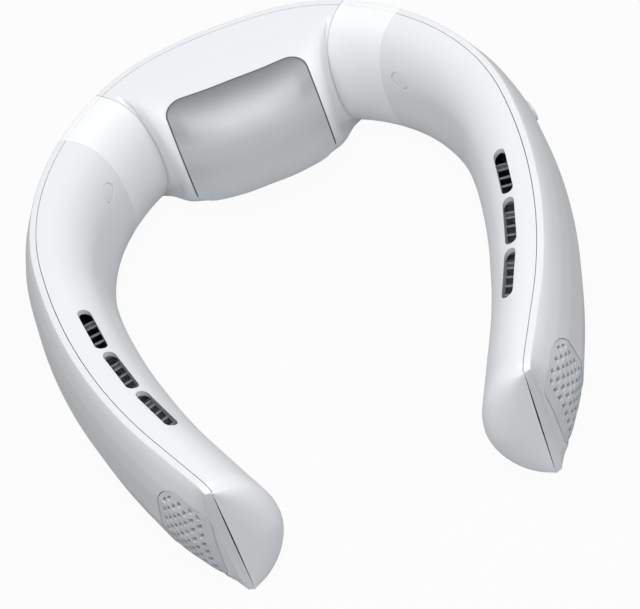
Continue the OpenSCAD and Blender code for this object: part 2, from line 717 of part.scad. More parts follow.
module screw_plug(left) {
    color([0.9, 0.91, 0.92]) side(left) intersection() {
        loft([for (s = stations(arm_leaf_s - plug_d, arm_leaf_s + plug_d, sleeve_steps)) ring(s,
            fan_turn(s), inner_outline(depth(s) - rim_lip, 0, roundness(s)))]);
        place(arm_leaf_s) translate([0, 0, plug_z]) rod_y(plug_d, -2 * arm_depth, -plug_seat);
    }
}
module arm_screw(left) {
    color([0.6, 0.6, 0.62]) side(left) place(arm_leaf_s) translate([0, 0, plug_z])
        screw_y(-leaf_inset - leaf_t - boss_floor, screw_len, -1);
}
module arm_outer_shell(left) {
    color([0.92, 0.93, 0.94]) side(left) difference() {
        union() {
            loft(concat([for (s = arm_s) outer_ring(s)], [for (k = tip_shares)
                ring(half_len, tip_angle(k), outer_outline(bulge(half_len) * (1 - tip_fill_share * k),
                    0, tip_wall(k), rim_lip - seam_gap))]));
            intersection() {
                outer_fill(arm_fill_s);
                union() {
                    place(arm_leaf_s) translate([0, 0, plug_z]) rod_y(boss_d, -leaf_inset, side_bulge);
                    place(battery_s) {
                        for (x = [-1, 1], z = [-1, 1]) {
                            post(x * cradle_post_x, mid_z + z * cradle_post_z, -cradle_back, side_bulge);
                            post(x * board_post_x, mid_z + z * board_post_z, board_t, side_bulge);
                        }
                        if (!left) for (b = [[power_x, power_d], [mode_x, mode_d]])
                            translate([b[0], 0, mid_z]) rod_y(b[1] + 2 * guide_w, flange_y, side_bulge);
                    }
                    place(blower_s) translate([0, 0, blower_z]) difference() {
                        rod_y(2 * (inlet_r + duct_wall), blower_y, side_bulge);
                        rod_y(2 * inlet_r, blower_y - overrun, side_bulge + overrun);
                    }
                }
            }
        }
        grille_slab(-overrun, wall + overrun + grille_seat, 2 * grille_gap);
        place(arm_leaf_s) translate([0, 0, plug_z]) rod_y(screw_d, -leaf_inset - overrun, 0);
        place(battery_s) {
            if (left) translate([0, 0, mid_z])
                pill_y(port_w + 2 * port_gap, port_h + 2 * port_gap, 0, side_bulge + overrun);
            else {
                for (b = [[power_x, power_d], [mode_x, mode_d]]) translate([b[0], 0, mid_z])
                    rod_y(b[1] + 2 * button_clearance, 0, side_bulge + overrun);
                translate([0, 0, mid_z + lens_z]) rod_y(lens_d, 0, side_bulge + overrun);
            }
        }
    }
}
module grille_slab(inset, thick, grow) {
    intersection() {
        loft([for (s = stations(grille_s - grille_w, half_len, cover_steps))
            ring(s, fan_turn(s), outer_outline(bulge(s), inset, thick, rim_lip + overrun))]);
        place(grille_s) translate([0, 0, grille_z]) rotate([0, grille_lean, 0])
            pill_y(grille_w + grow, grille_h + grow, blower_y, grille_top);
    }
}
module grille(left) {
    cols = ceil(grille_w / hole_pitch);
    color([0.86, 0.87, 0.88]) side(left) difference() {
        grille_slab(grille_set, grille_t, 0);
        place(grille_s) translate([0, grille_top, grille_z]) rotate([0, grille_lean, 0])
            rotate([90, 0, 0]) linear_extrude(2 * grille_top) intersection() {
                for (r = [0:grille_rows - 1], c = [-cols:cols])
                    translate([(c + (r % 2) / 2) * hole_pitch, (r - (grille_rows - 1) / 2) * row_pitch])
                        square([hole_w, hole_h], center = true);
                pill(grille_w - 2 * grille_edge, grille_h - 2 * grille_edge);
            }
    }
}

// Batteries and boards
module battery(left) {
    y1 = -cradle_back - cradle_t - battery_gap;
    color([0.3, 0.45, 0.62]) side(left) place(battery_s) {
        box(-battery_l / 2, battery_l / 2, y1 - battery_t + battery_edge, y1 - battery_edge,
            mid_z - battery_h / 2, mid_z + battery_h / 2);
        for (e = [0, 1]) box(-battery_l / 2 + battery_edge, battery_l / 2 - battery_edge,
            y1 - battery_t + e * (battery_t - battery_edge), y1 - (1 - e) * (battery_t - battery_edge),
            mid_z - battery_h / 2 + battery_edge, mid_z + battery_h / 2 - battery_edge);
    }
}
module battery_cradle(left) {
    y0 = -cradle_back - cradle_t;
    color([0.2, 0.2, 0.22]) side(left) place(battery_s) {
        box(-cradle_l / 2, cradle_l / 2, y0, -cradle_back,
            mid_z - battery_h / 2 - battery_gap - cradle_t, mid_z + battery_h / 2 + battery_gap + cradle_t);
        for (z = [-1, 1]) let (c = mid_z + z * (battery_h / 2 + battery_gap + cradle_t / 2))
            box(-cradle_l / 2, cradle_l / 2, y0 - cradle_lip, y0, c - cradle_t / 2, c + cradle_t / 2);
    }
}
module board() {
    box(-board_l / 2, board_l / 2, 0, board_t, mid_z - board_h / 2, mid_z + board_h / 2);
}
module right_circuit_board() {
    color([0.1, 0.35, 0.2]) place(battery_s) board();
}
module left_circuit_board() {
    color([0.1, 0.35, 0.2]) side(true) place(battery_s) board();
}
module button_domes() {
    color([0.8, 0.8, 0.82]) place(battery_s) for (x = [power_x, mode_x])
        translate([x, 0, mid_z]) rod_y(dome_d, board_t, board_t + dome_h);
}
module push_button(x, d) {
    place(battery_s) translate([x, 0, mid_z]) {
        rod_y(d, flange_y - flange_back - flange_t, side_bulge + button_proud);
        rod_y(d + 2 * flange_w, flange_y - flange_back - flange_t, flange_y - flange_back);
    }
}
module power_button() {
    color([0.8, 0.82, 0.84]) push_button(power_x, power_d);
}
module mode_button() {
    color([0.8, 0.82, 0.84]) push_button(mode_x, mode_d);
}
module indicator_lens() {
    color([0.85, 0.9, 0.95]) place(battery_s) translate([0, 0, mid_z + lens_z])
        rod_y(lens_d - 2 * button_clearance, board_t, side_bulge);
}
module usb_port() {
    color([0.7, 0.71, 0.73]) side(true) place(battery_s) translate([0, 0, mid_z]) {
        difference() {
            pill_y(port_w, port_h, board_t, side_bulge - port_gap);
            pill_y(port_w - 2 * port_wall, port_h - 2 * port_wall, board_t + port_wall, side_bulge);
        }
        box(-port_tongue_w / 2, port_tongue_w / 2, board_t, board_t + port_tongue_l,
            -port_tongue_t / 2, port_tongue_t / 2);
    }
}

// Air path
module air_vanes(left) {
    color([0.55, 0.57, 0.58]) side(left) for (i = [0:slot_count - 1]) place(slot_at(i))
        translate([0, -slot_in(i), vane_top - vane_h]) {
            difference() {
                box(-vane_l / 2, vane_l / 2, -vane_w / 2, vane_w / 2, 0, vane_h);
                box(-vane_l / 2 + vane_wall, vane_l / 2 - vane_wall, -vane_w / 2 + vane_wall,
                    vane_w / 2 - vane_wall, -overrun, vane_h + overrun);
            }
            intersection() {
                box(-vane_l / 2, vane_l / 2, -vane_w / 2, vane_w / 2, 0, vane_h);
                for (k = [0:vane_count - 1])
                    translate([(k - (vane_count - 1) / 2) * vane_l / vane_count, 0, vane_h / 2])
                        rotate([0, vane_tilt, 0]) box(-vane_wall / 2, vane_wall / 2,
                            -vane_w / 2, vane_w / 2, -vane_h, vane_h);
            }
        }
}
module scroll_shape(r, drop, reach) {
    circle(r = r);
    translate([-reach, r - outlet_h + drop]) square([reach, outlet_h - drop]);
}
module scroll(r, drop, reach, y0, y1) {
    translate([0, y1, 0]) rotate([90, 0, 0]) linear_extrude(y1 - y0) scroll_shape(r, drop, reach);
}
module blower_housing(left) {
    floor_y = blower_y - blower_t;
    color([0.25, 0.26, 0.28]) side(left) place(blower_s) translate([0, 0, blower_z]) difference() {
        scroll(blower_r, 0, outlet_l, floor_y, blower_y - blower_wall);
        scroll(blower_r - blower_wall, outlet_drop, outlet_l + overrun, floor_y + blower_wall, blower_y);
    }
}
module blower_cover(left) {
    color([0.28, 0.29, 0.31]) side(left) place(blower_s) translate([0, 0, blower_z]) difference() {
        scroll(blower_r, 0, outlet_l, blower_y - blower_wall, blower_y);
        rod_y(2 * inlet_r, blower_y - blower_wall - overrun, blower_y + overrun);
    }
}
motor_y = blower_y - blower_t + blower_wall;
module blower_motor(left) {
    color([0.45, 0.46, 0.48]) side(left) place(blower_s) translate([0, 0, blower_z]) difference() {
        union() {
            rod_y(2 * motor_base_r, motor_y, motor_y + motor_base_t);
            rod_y(2 * stator_r, motor_y, motor_y + motor_base_t + stator_h);
        }
        rod_y(shaft_d + 2 * shaft_clearance, motor_y + motor_base_t / 2,
            motor_y + motor_base_t + stator_h + overrun);
    }
}
module impeller(left) {
    y0 = motor_y + impeller_lift;
    y1 = y0 + impeller_h;
    color([0.85, 0.86, 0.88]) side(left) place(blower_s) translate([0, 0, blower_z]) {
        difference() {
            union() {
                rod_y(2 * hub_r, y0, y1);
                rod_y(2 * impeller_r, y0, y0 + hub_wall);
            }
            rod_y(2 * (hub_r - hub_wall), y0 - overrun, y1 - hub_wall);
        }
        rod_y(shaft_d, motor_y + motor_base_t, y1);
        for (i = [0:blower_blades - 1]) rotate([0, i * 360 / blower_blades, 0])
            translate([blade_root, 0, 0]) rotate([0, blade_tilt, 0])
                box(0, impeller_r - blade_root - rim_t / 2, y0, y1, -blade_t / 2, blade_t / 2);
        difference() {
            rod_y(2 * impeller_r, y1 - hub_wall, y1);
            rod_y(2 * (impeller_r - rim_t), y0, y1 + overrun);
        }
    }
}

center_inner_shell();
center_outer_shell();
cooling_plate();
plate_gasket();
peltier_tile();
heat_sink();
cooling_fan_frame();
cooling_fan_rotor();
center_circuit_board();
center_screws();
center_bracket(true);  // left_center_bracket
center_bracket(false);  // right_center_bracket
hinge_pin(true);  // left_hinge_pin
hinge_pin(false);  // right_hinge_pin
arm_bracket(true);  // left_arm_bracket
arm_bracket(false);  // right_arm_bracket
sleeve(true);  // left_sleeve
sleeve(false);  // right_sleeve
arm_inner_shell(true);  // left_arm_inner_shell
arm_inner_shell(false);  // right_arm_inner_shell
arm_outer_shell(true);  // left_arm_outer_shell
arm_outer_shell(false);  // right_arm_outer_shell
grille(true);  // left_grille
grille(false);  // right_grille
screw_plug(true);  // left_screw_plug
screw_plug(false);  // right_screw_plug
arm_screw(true);  // left_arm_screw
arm_screw(false);  // right_arm_screw
battery(true);  // left_battery
battery(false);  // right_battery
battery_cradle(true);  // left_battery_cradle
battery_cradle(false);  // right_battery_cradle
left_circuit_board();
right_circuit_board();
power_button();
mode_button();
button_domes();
indicator_lens();
usb_port();
air_vanes(true);  // left_air_vanes
air_vanes(false);  // right_air_vanes
blower_housing(true);  // left_blower_housing
blower_housing(false);  // right_blower_housing
blower_cover(true);  // left_blower_cover
blower_cover(false);  // right_blower_cover
blower_motor(true);  // left_blower_motor
blower_motor(false);  // right_blower_motor
impeller(true);  // left_impeller
impeller(false);  // right_impeller
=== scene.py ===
"""Looks of the electric neck fan: smooth shells, sleeves, plate, grilles, keys and their finishes."""

import json
import logging
import math
from collections.abc import Callable
from dataclasses import dataclass, replace
from enum import Enum

import bmesh
import bpy
from mathutils import Matrix, Vector


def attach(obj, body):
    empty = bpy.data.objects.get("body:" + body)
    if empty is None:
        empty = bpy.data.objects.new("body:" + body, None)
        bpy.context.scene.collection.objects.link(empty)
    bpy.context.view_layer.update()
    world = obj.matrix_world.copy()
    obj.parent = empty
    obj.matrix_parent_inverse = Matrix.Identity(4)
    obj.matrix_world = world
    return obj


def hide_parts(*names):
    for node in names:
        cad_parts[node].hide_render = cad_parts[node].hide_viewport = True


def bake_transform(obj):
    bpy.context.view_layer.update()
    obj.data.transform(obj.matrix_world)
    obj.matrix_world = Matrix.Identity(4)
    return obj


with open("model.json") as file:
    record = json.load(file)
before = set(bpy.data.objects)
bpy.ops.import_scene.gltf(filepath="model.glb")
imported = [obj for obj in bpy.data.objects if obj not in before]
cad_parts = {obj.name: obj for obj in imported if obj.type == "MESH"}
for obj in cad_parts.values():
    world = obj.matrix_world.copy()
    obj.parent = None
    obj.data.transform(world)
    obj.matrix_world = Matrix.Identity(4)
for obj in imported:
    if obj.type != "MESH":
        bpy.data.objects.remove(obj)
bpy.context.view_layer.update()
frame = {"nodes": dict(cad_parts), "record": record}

LOG = logging.getLogger("neck_fan")
MM = 0.001
CREASE = 32.0  # degrees, past which an edge stays sharp
SHELL_CREASE = 7.0  # the same, on the outer shells with their flat steps
SOFT_CREASE = 40.0  # the same, on the soft pieces
MERGE = 1e-6  # metres, under which two points are one
PAST = 1.0  # millimetres that a cutter runs on past a wall
LISTING_WAY = (1.0, 1.618, 2.414)  # a slanted direction, along which few points tie
Point = tuple[float, float]
Outline = list[Point]
Table = tuple[Point, ...]
Powers = tuple[float, float]
Triple = tuple[float, float, float]
Rings = list[list[Vector]]


class Side(Enum):
    """The two arms, by the sign of their x."""

    LEFT = -1
    RIGHT = 1

    @property
    def word(self) -> str:
        """The side's name, as node names begin."""
        return self.name.lower()


def curve(table: Table, x: float) -> float:
    """Reads a smooth curve through a table.

    Args:
        table: pairs of place and value, places rising.
        x: the place to read at.

    Returns:
        The value there, level at both ends of the table.
    """
    last = len(table) - 2
    i = next((k for k in range(last) if x < table[k + 1][0]), last)
    (x0, y0), (x1, y1) = table[i], table[i + 1]
    step = x1 - x0
    u = min(1.0, max(0.0, (x - x0) / step))

    def rate(k: int) -> float:
        """The slope at a knot.

        Args:
            k: the knot's index.

        Returns:
            The slope, which is level at both ends.
        """
        if k in (0, len(table) - 1):
            return 0.0
        return (table[k + 1][1] - table[k - 1][1]) / (table[k + 1][0] - table[k - 1][0])

    return (
        y0 * (2 * u**3 - 3 * u**2 + 1) + y1 * (3 * u**2 - 2 * u**3)
        + step * rate(i) * (u**3 - 2 * u**2 + u) + step * rate(i + 1) * (u**3 - u**2)
    )


def spread(start: float, stop: float, steps: int) -> list[float]:
    """Evenly spaced values from start to stop, both included."""
    return [start + (stop - start) * i / steps for i in range(steps + 1)]


@dataclass(frozen=True)
class CaseForm:
    """The case's surface in millimetres: its rim line and the sections that ride on it."""

    height: float = 55.0
    back_r: float = 85.5
    arm_r: float = 199.0
    back_sweep: float = 88.0
    arm_sweep: float = 27.2
    tip_straight: float = 28.0
    back_flat: float = 2.4
    flat_turn: float = 30.0
    side_bulge: float = 7.4
    center_depth: float = 47.0
    sleeve_depth: float = 18.2
    arm_depth: float = 21.8
    tip_depth: float = 20.0
    wall: float = 1.9
    lip: float = 2.5
    seam: float = 0.25
    sleeve_start: float = 49.0
    sleeve_len: float = 22.5
    sleeve_gap: float = 0.12
    tip_turn: float = 44.0
    tip_fill: float = 0.9
    tip_edge: float = 0.5
    tip_solid: float = 0.8
    crease_r: float = 0.5
    gentle_r: float = 1.2
    gentle_turn: float = 30.0
    seam_closing: float = 0.8
    groove_lean: float = 0.02
    center_turns: Table = ((0, 0), (0.55, 0), (0.67, 5), (0.775, 12.7), (0.88, 25), (1, 46.8))
    center_depths: Table = (
        (0, 1), (0.2, 0.985), (0.41, 0.878), (0.55, 0.72),
        (0.67, 0.58), (0.775, 0.405), (0.88, 0.143), (1, 0),
    )
    arm_turns: Table = ((0, -14), (0.11, -5), (0.2, 0), (0.81, 0), (1, 12))
    arm_rises: Table = ((0, 0), (0.1, 0.08), (0.25, 0.36), (0.4, 0.64), (0.6, 1), (1, 1))
    tip_falls: Table = ((0, 0), (0.7, 0), (0.8, 0.42), (0.87, 0.85), (0.94, 0.95), (1, 1))
    bulges: Table = ((0, 1), (0.72, 1), (0.77, 1), (0.86, 1.1), (0.93, 1.24), (0.98, 0.95), (1, 0.18))
    tops: Table = ((0, 1), (0.974, 1), (0.98, 1), (0.992, 0.985), (1, 0.94))
    rounds: Table = ((0, 2.4), (0.86, 2.4), (1, 2.1))
    low_rounds: Table = ((0, 2.1), (0.3, 2.15), (0.45, 2.4), (0.8, 2.4), (1, 1.85))
    tip_flats: Powers = (0.5, 0.8)
    tip_probes: tuple[float, ...] = (0.3, 0.55, 0.75, 0.88, 0.96, 1)
    facets: Table = ((0.55, 0.845), (0.8, 0.73), (1, 0.5), (0.8, 0.27), (0.55, 0.155))

    @property
    def mid_z(self) -> float:
        """Half the case's height."""
        return self.height / 2

    @property
    def back_len(self) -> float:
        """Length of the nape arc to one side."""
        return self.back_r * math.radians(self.back_sweep)

    @property
    def straight_s(self) -> float:
        """Station where the arm's arc ends and its straight end begins."""
        return self.back_len + self.arm_r * math.radians(self.arm_sweep)

    @property
    def half_len(self) -> float:
        """Length of the rim from nape to tip."""
        return self.straight_s + self.tip_straight

    @property
    def sleeve_end(self) -> float:
        """Station where the sleeve ends and the arm begins."""
        return self.sleeve_start + self.sleeve_len

    @property
    def shift_y(self) -> float:
        """How far the shape is moved to centre it front to back.

        Returns:
            The move along y, from how far the tips reach to the front and the nape to the back.
        """
        end = self.half_len
        reach = min(
            (self.bare_rim(end) + (self.lip + self.tip_width(k)) * self.inward(end, self.tip_angle(k)))[1]
            for k in self.tip_probes
        )
        return -(reach + self.back_r - self.back_flat + self.side_bulge) / 2

    def turn(self, s: float) -> float:
        """How far the rim has turned at a station.

        Args:
            s: the station.

        Returns:
            The turn in degrees, which stays as it is on the straight end.
        """
        if s <= self.back_len:
            return math.degrees(s / self.back_r)
        return self.back_sweep + math.degrees((min(s, self.straight_s) - self.back_len) / self.arm_r)

    def outward(self, s: float) -> Vector:
        """The rim's outward direction at a station."""
        a = math.radians(self.turn(s))
        return Vector((math.sin(a), math.cos(a)))

    def tipward(self, s: float) -> Vector:
        """The rim's direction towards the tip at a station."""
        a = math.radians(self.turn(s))
        return Vector((math.cos(a), -math.sin(a)))

    def inward(self, s: float, fan: float) -> Vector:
        """The direction in which a section runs inwards, turned towards the tip by fan degrees."""
        f = math.radians(fan)
        return self.tipward(s) * math.sin(f) - self.outward(s) * math.cos(f)

    def bare_rim(self, s: float) -> Vector:
        """The rim before it is centred front to back.

        Args:
            s: the station.

        Returns:
            Its x and y: the arm's arc and straight end, or the nape's arc with its flattened middle.
        """
        if s > self.back_len:
            a = math.radians(self.back_sweep)
            centre = Vector((math.sin(a), math.cos(a))) * (self.back_r - self.arm_r)
            past = max(0.0, s - self.straight_s)
            return centre + self.arm_r * self.outward(s) + past * self.tipward(s)
        flat_len = self.back_r * math.radians(self.flat_turn)
        drop = self.back_flat * math.cos(math.pi / 2 * s / flat_len) ** 2 if s < flat_len else 0
        return (self.back_r - drop) * self.outward(s)

    def rim(self, s: float) -> Vector:
        """The rim at a station, in the shared frame."""
        return self.bare_rim(s) + Vector((0, SHIFT_Y))

    def fan(self, s: float) -> float:
        """How far the section at a station is turned towards the tip.

        Args:
            s: the station.

        Returns:
            The turn in degrees, against the rim's own inward direction.
        """
        if s < self.sleeve_start:
            return self.turn(s) - curve(self.center_turns, s / self.sleeve_start)
        return curve(self.arm_turns, self.arm_share(s))

    def arm_share(self, s: float) -> float:
        """A station as a share of the way from sleeve start to tip."""
        return (s - self.sleeve_start) / (self.half_len - self.sleeve_start)

    def depth(self, s: float) -> float:
        """Depth of the case inward from the rim.

        Args:
            s: the station.

        Returns:
            The depth, from the deep nape over the sleeve to the arm and its tip.
        """
        if s < self.sleeve_start:
            share = curve(self.center_depths, s / self.sleeve_start)
            return self.sleeve_depth + (self.center_depth - self.sleeve_depth) * share
        a = self.arm_share(s)
        return (
            self.sleeve_depth
            + (self.arm_depth - self.sleeve_depth) * curve(self.arm_rises, a)
            + (self.tip_depth - self.arm_depth) * curve(self.tip_falls, a)
        )

    def bulge(self, s: float) -> float:
        """How far the outer wall stands out past the rim."""
        return self.side_bulge * curve(self.bulges, s / self.half_len)

    def roundness(self, s: float) -> Powers:
        """Exponents of the inner wall's rounded section, above and below its middle."""
        return curve(self.rounds, s / self.half_len), curve(self.low_rounds, s / self.half_len)

    def tip_width(self, k: float) -> float:
        """Width of the inner shell where the tip has turned by share k."""
        return max(self.tip_edge, (self.tip_depth - self.lip) * math.sqrt(max(0, 1 - k * k)))

    def tip_hollow(self, k: float) -> float:
        """Width of the hollow where the tip has turned by share k."""
        inside = math.sqrt(1 - (k / self.tip_solid) ** 2) if k < self.tip_solid else 0
        return max(self.tip_edge / 2, (self.tip_depth - self.wall - self.lip) * inside)

    def tip_angle(self, k: float) -> float:
        """Turn of the section at share k of the tip's fan."""
        start = self.fan(self.half_len)
        return start + (self.tip_turn - start) * k

    @staticmethod
    def arc_point(t: float, powers: Powers) -> Point:
        """A point of the unit rounded section.

        Args:
            t: its angle, in radians up from the middle.
            powers: the section's exponents above and below the middle.

        Returns:
            Its distance in and its lift.
        """
        power = powers[1] if t < 0 else powers[0]
        lift = math.copysign(abs(math.sin(t)) ** (2 / power), math.sin(t))
        return max(0.0, math.cos(t)) ** (2 / power), lift

    def half_round(self, width: float, half_h: float, powers: Powers, steps: int = 44) -> Outline:
        """Makes the inner wall's rounded outline.

        Args:
            width: how far it reaches in past the lip.
            half_h: half its height.
            powers: its exponents above and below the middle.
            steps: how many steps it has.

        Returns:
            The outline from its top seam to its bottom seam.
        """
        out = []
        for i in range(steps + 1):
            reach, lift = self.arc_point(math.pi / 2 - math.pi * i / steps, powers)
            out.append((self.lip + width * reach, self.mid_z + lift * half_h))
        return out

    def outer_face(self, b: float, inset: float) -> Outline:
        """The outer wall's outline in flat steps.

        Args:
            b: how far it stands out past the rim.
            inset: how far it lies inside the case's surface.

        Returns:
            The outline from its top edge to its bottom edge.
        """
        shrink = 1 - inset / self.mid_z
        heights = [self.mid_z + (z * self.height - self.mid_z) * shrink for _, z in self.facets]
        steps = [(inset - b * q, z) for (q, _), z in zip(self.facets, heights)]
        return [(inset, self.height - inset), *steps, (inset, inset)]

    def inner_outline(self, s: float, k: float = 0.0) -> Outline:
        """Makes the closed outline of the inner shell's wall.

        Args:
            s: the station it belongs to.
            k: share of the tip's turn, which narrows and sharpens the section.

        Returns:
            The outline, out and back.
        """
        above, below = self.roundness(s)
        powers = above - self.tip_flats[0] * k, below - self.tip_flats[1] * k
        width = self.tip_width(k) if k else self.depth(s) - self.lip
        hollow = self.tip_hollow(k) if k else width - self.wall
        outer = self.half_round(width, self.mid_z, powers)
        return outer + self.half_round(hollow, self.mid_z - self.wall, powers)[::-1]

    def outer_outline(self, s: float, fill: float = 0.0) -> Outline:
        """Makes the closed outline of the outer shell's wall, with its creases rounded.

        Args:
            s: the station it belongs to.
            fill: share by which the wall thickens to fill its hollow, as it does round the tip.

        Returns:
            The outline, out and back.
        """
        b, lip = self.bulge(s) * (1 - fill), self.lip - self.seam * (1 - self.seam_closing * fill)
        thick = self.wall + fill * (lip - self.wall)
        face = [(lip, self.height), *self.outer_face(b, 0), (lip, 0)]
        back = [(lip, self.height - thick), *self.outer_face(b, thick), (lip, thick)]
        return self.soften(face, self.crease_r) + self.soften(back, self.crease_r / 2)[::-1]

    def full_outline(self, s: float, inset: float) -> Outline:
        """Makes the closed outline of the whole case, as the sleeves have it.

        Args:
            s: the station it belongs to.
            inset: how far it lies inside the case's surface, where 0 has a groove along the seams.

        Returns:
            The outline, once round.
        """
        dip = self.seam if inset == 0 else 0.0
        top, low = self.height - inset, inset
        round_side = self.half_round(self.depth(s) - self.lip - inset, self.mid_z - inset, self.roundness(s))
        edge = self.lip - self.seam
        face = self.soften([(edge, top), *self.outer_face(self.bulge(s), inset), (edge, low)], self.crease_r)
        near, far = self.lip - self.groove_lean, edge + self.groove_lean
        groove_low, groove_top = [(near, low + dip), (far, low + dip)], [(far, top - dip), (near, top - dip)]
        return [*round_side, *groove_low, *face[::-1], *groove_top]

    def soften(self, points: Outline, radius: float, steps: int = 4) -> Outline:
        """Rounds the corners of an open outline.

        Args:
            points: the outline's corners, whose two ends stay.
            radius: how far from a sharp corner the rounding starts.
            steps: arcs' steps.

        Returns:
            The outline with each inner corner replaced by a small curve.
        """
        out: Outline = [points[0]]
        for before, corner, after in zip(points, points[1:], points[2:]):
            p, q, r = Vector(before), Vector(corner), Vector(after)
            turn = (q - p).angle(r - q, 0.0)
            start = self.gentle_r if turn < math.radians(self.gentle_turn) else radius
            reach = min(start, (p - q).length / 2.2, (r - q).length / 2.2)
            a, b = q + (p - q).normalized() * reach, q + (r - q).normalized() * reach
            for i in range(steps + 1):
                u = i / steps
                m = a * (1 - u) ** 2 + q * (2 * u * (1 - u)) + b * u**2
                out.append((m.x, m.y))
        out.append(points[-1])
        return out

    def section(self, s: float, fan: float, outline: Outline, side: float = 1) -> list[Vector]:
        """Places an outline at a station.

        Args:
            s: the station, in millimetres from the nape.
            fan: the section's turn towards the tip, in degrees.
            outline: pairs of distance in from the rim and height.
            side: -1 to mirror it to the left.

        Returns:
            The points in metres, in the shared frame.
        """
        rim, way, top = self.rim(s), self.inward(s, fan), curve(self.tops, s / self.half_len)
        out = []
        for n, z in outline:
            p = rim + n * way
            high = self.mid_z + (z - self.mid_z) * top if z > self.mid_z else z
            out.append(Vector((side * p.x, p.y, high)) * MM)
        return out

    def sections(self, stations: list[float], outline: Callable[[float], Outline], side: float) -> Rings:
        """Places an outline at every station, each with its own turn.

        Args:
            stations: the stations.
            outline: gives the outline at a station.
            side: -1 to mirror them to the left.

        Returns:
            The sections' points.
        """
        return [self.section(s, self.fan(s), outline(s), side) for s in stations]

    def spot(self, s: float, along: float, out: float, z: float, side: float = 1) -> Vector:
        """A point given in a station's own frame.

        Args:
            s: the station.
            along: distance towards the tip.
            out: distance outward.
            z: height.
            side: -1 to mirror it to the left.

        Returns:
            The point in metres.
        """
        p = self.rim(s) + along * self.tipward(s) + out * self.outward(s)
        return Vector((side * p.x, p.y, z)) * MM

    def basis(self, s: float, side: float = 1) -> Matrix:
        """A station's own frame: x along the rim, y outward and z up.

        Args:
            s: the station.
            side: -1 to mirror it to the left.

        Returns:
            The matrix from that frame into the shared one.
        """
        t, o, r = self.tipward(s), self.outward(s), self.rim(s)
        m = Matrix(((t.x, o.x, 0, r.x * MM), (t.y, o.y, 0, r.y * MM), (0, 0, 1, 0), (0, 0, 0, 1)))
        return Matrix.Scale(-1, 4, (1, 0, 0)) @ m if side < 0 else m


FORM = CaseForm()
SHIFT_Y = FORM.shift_y


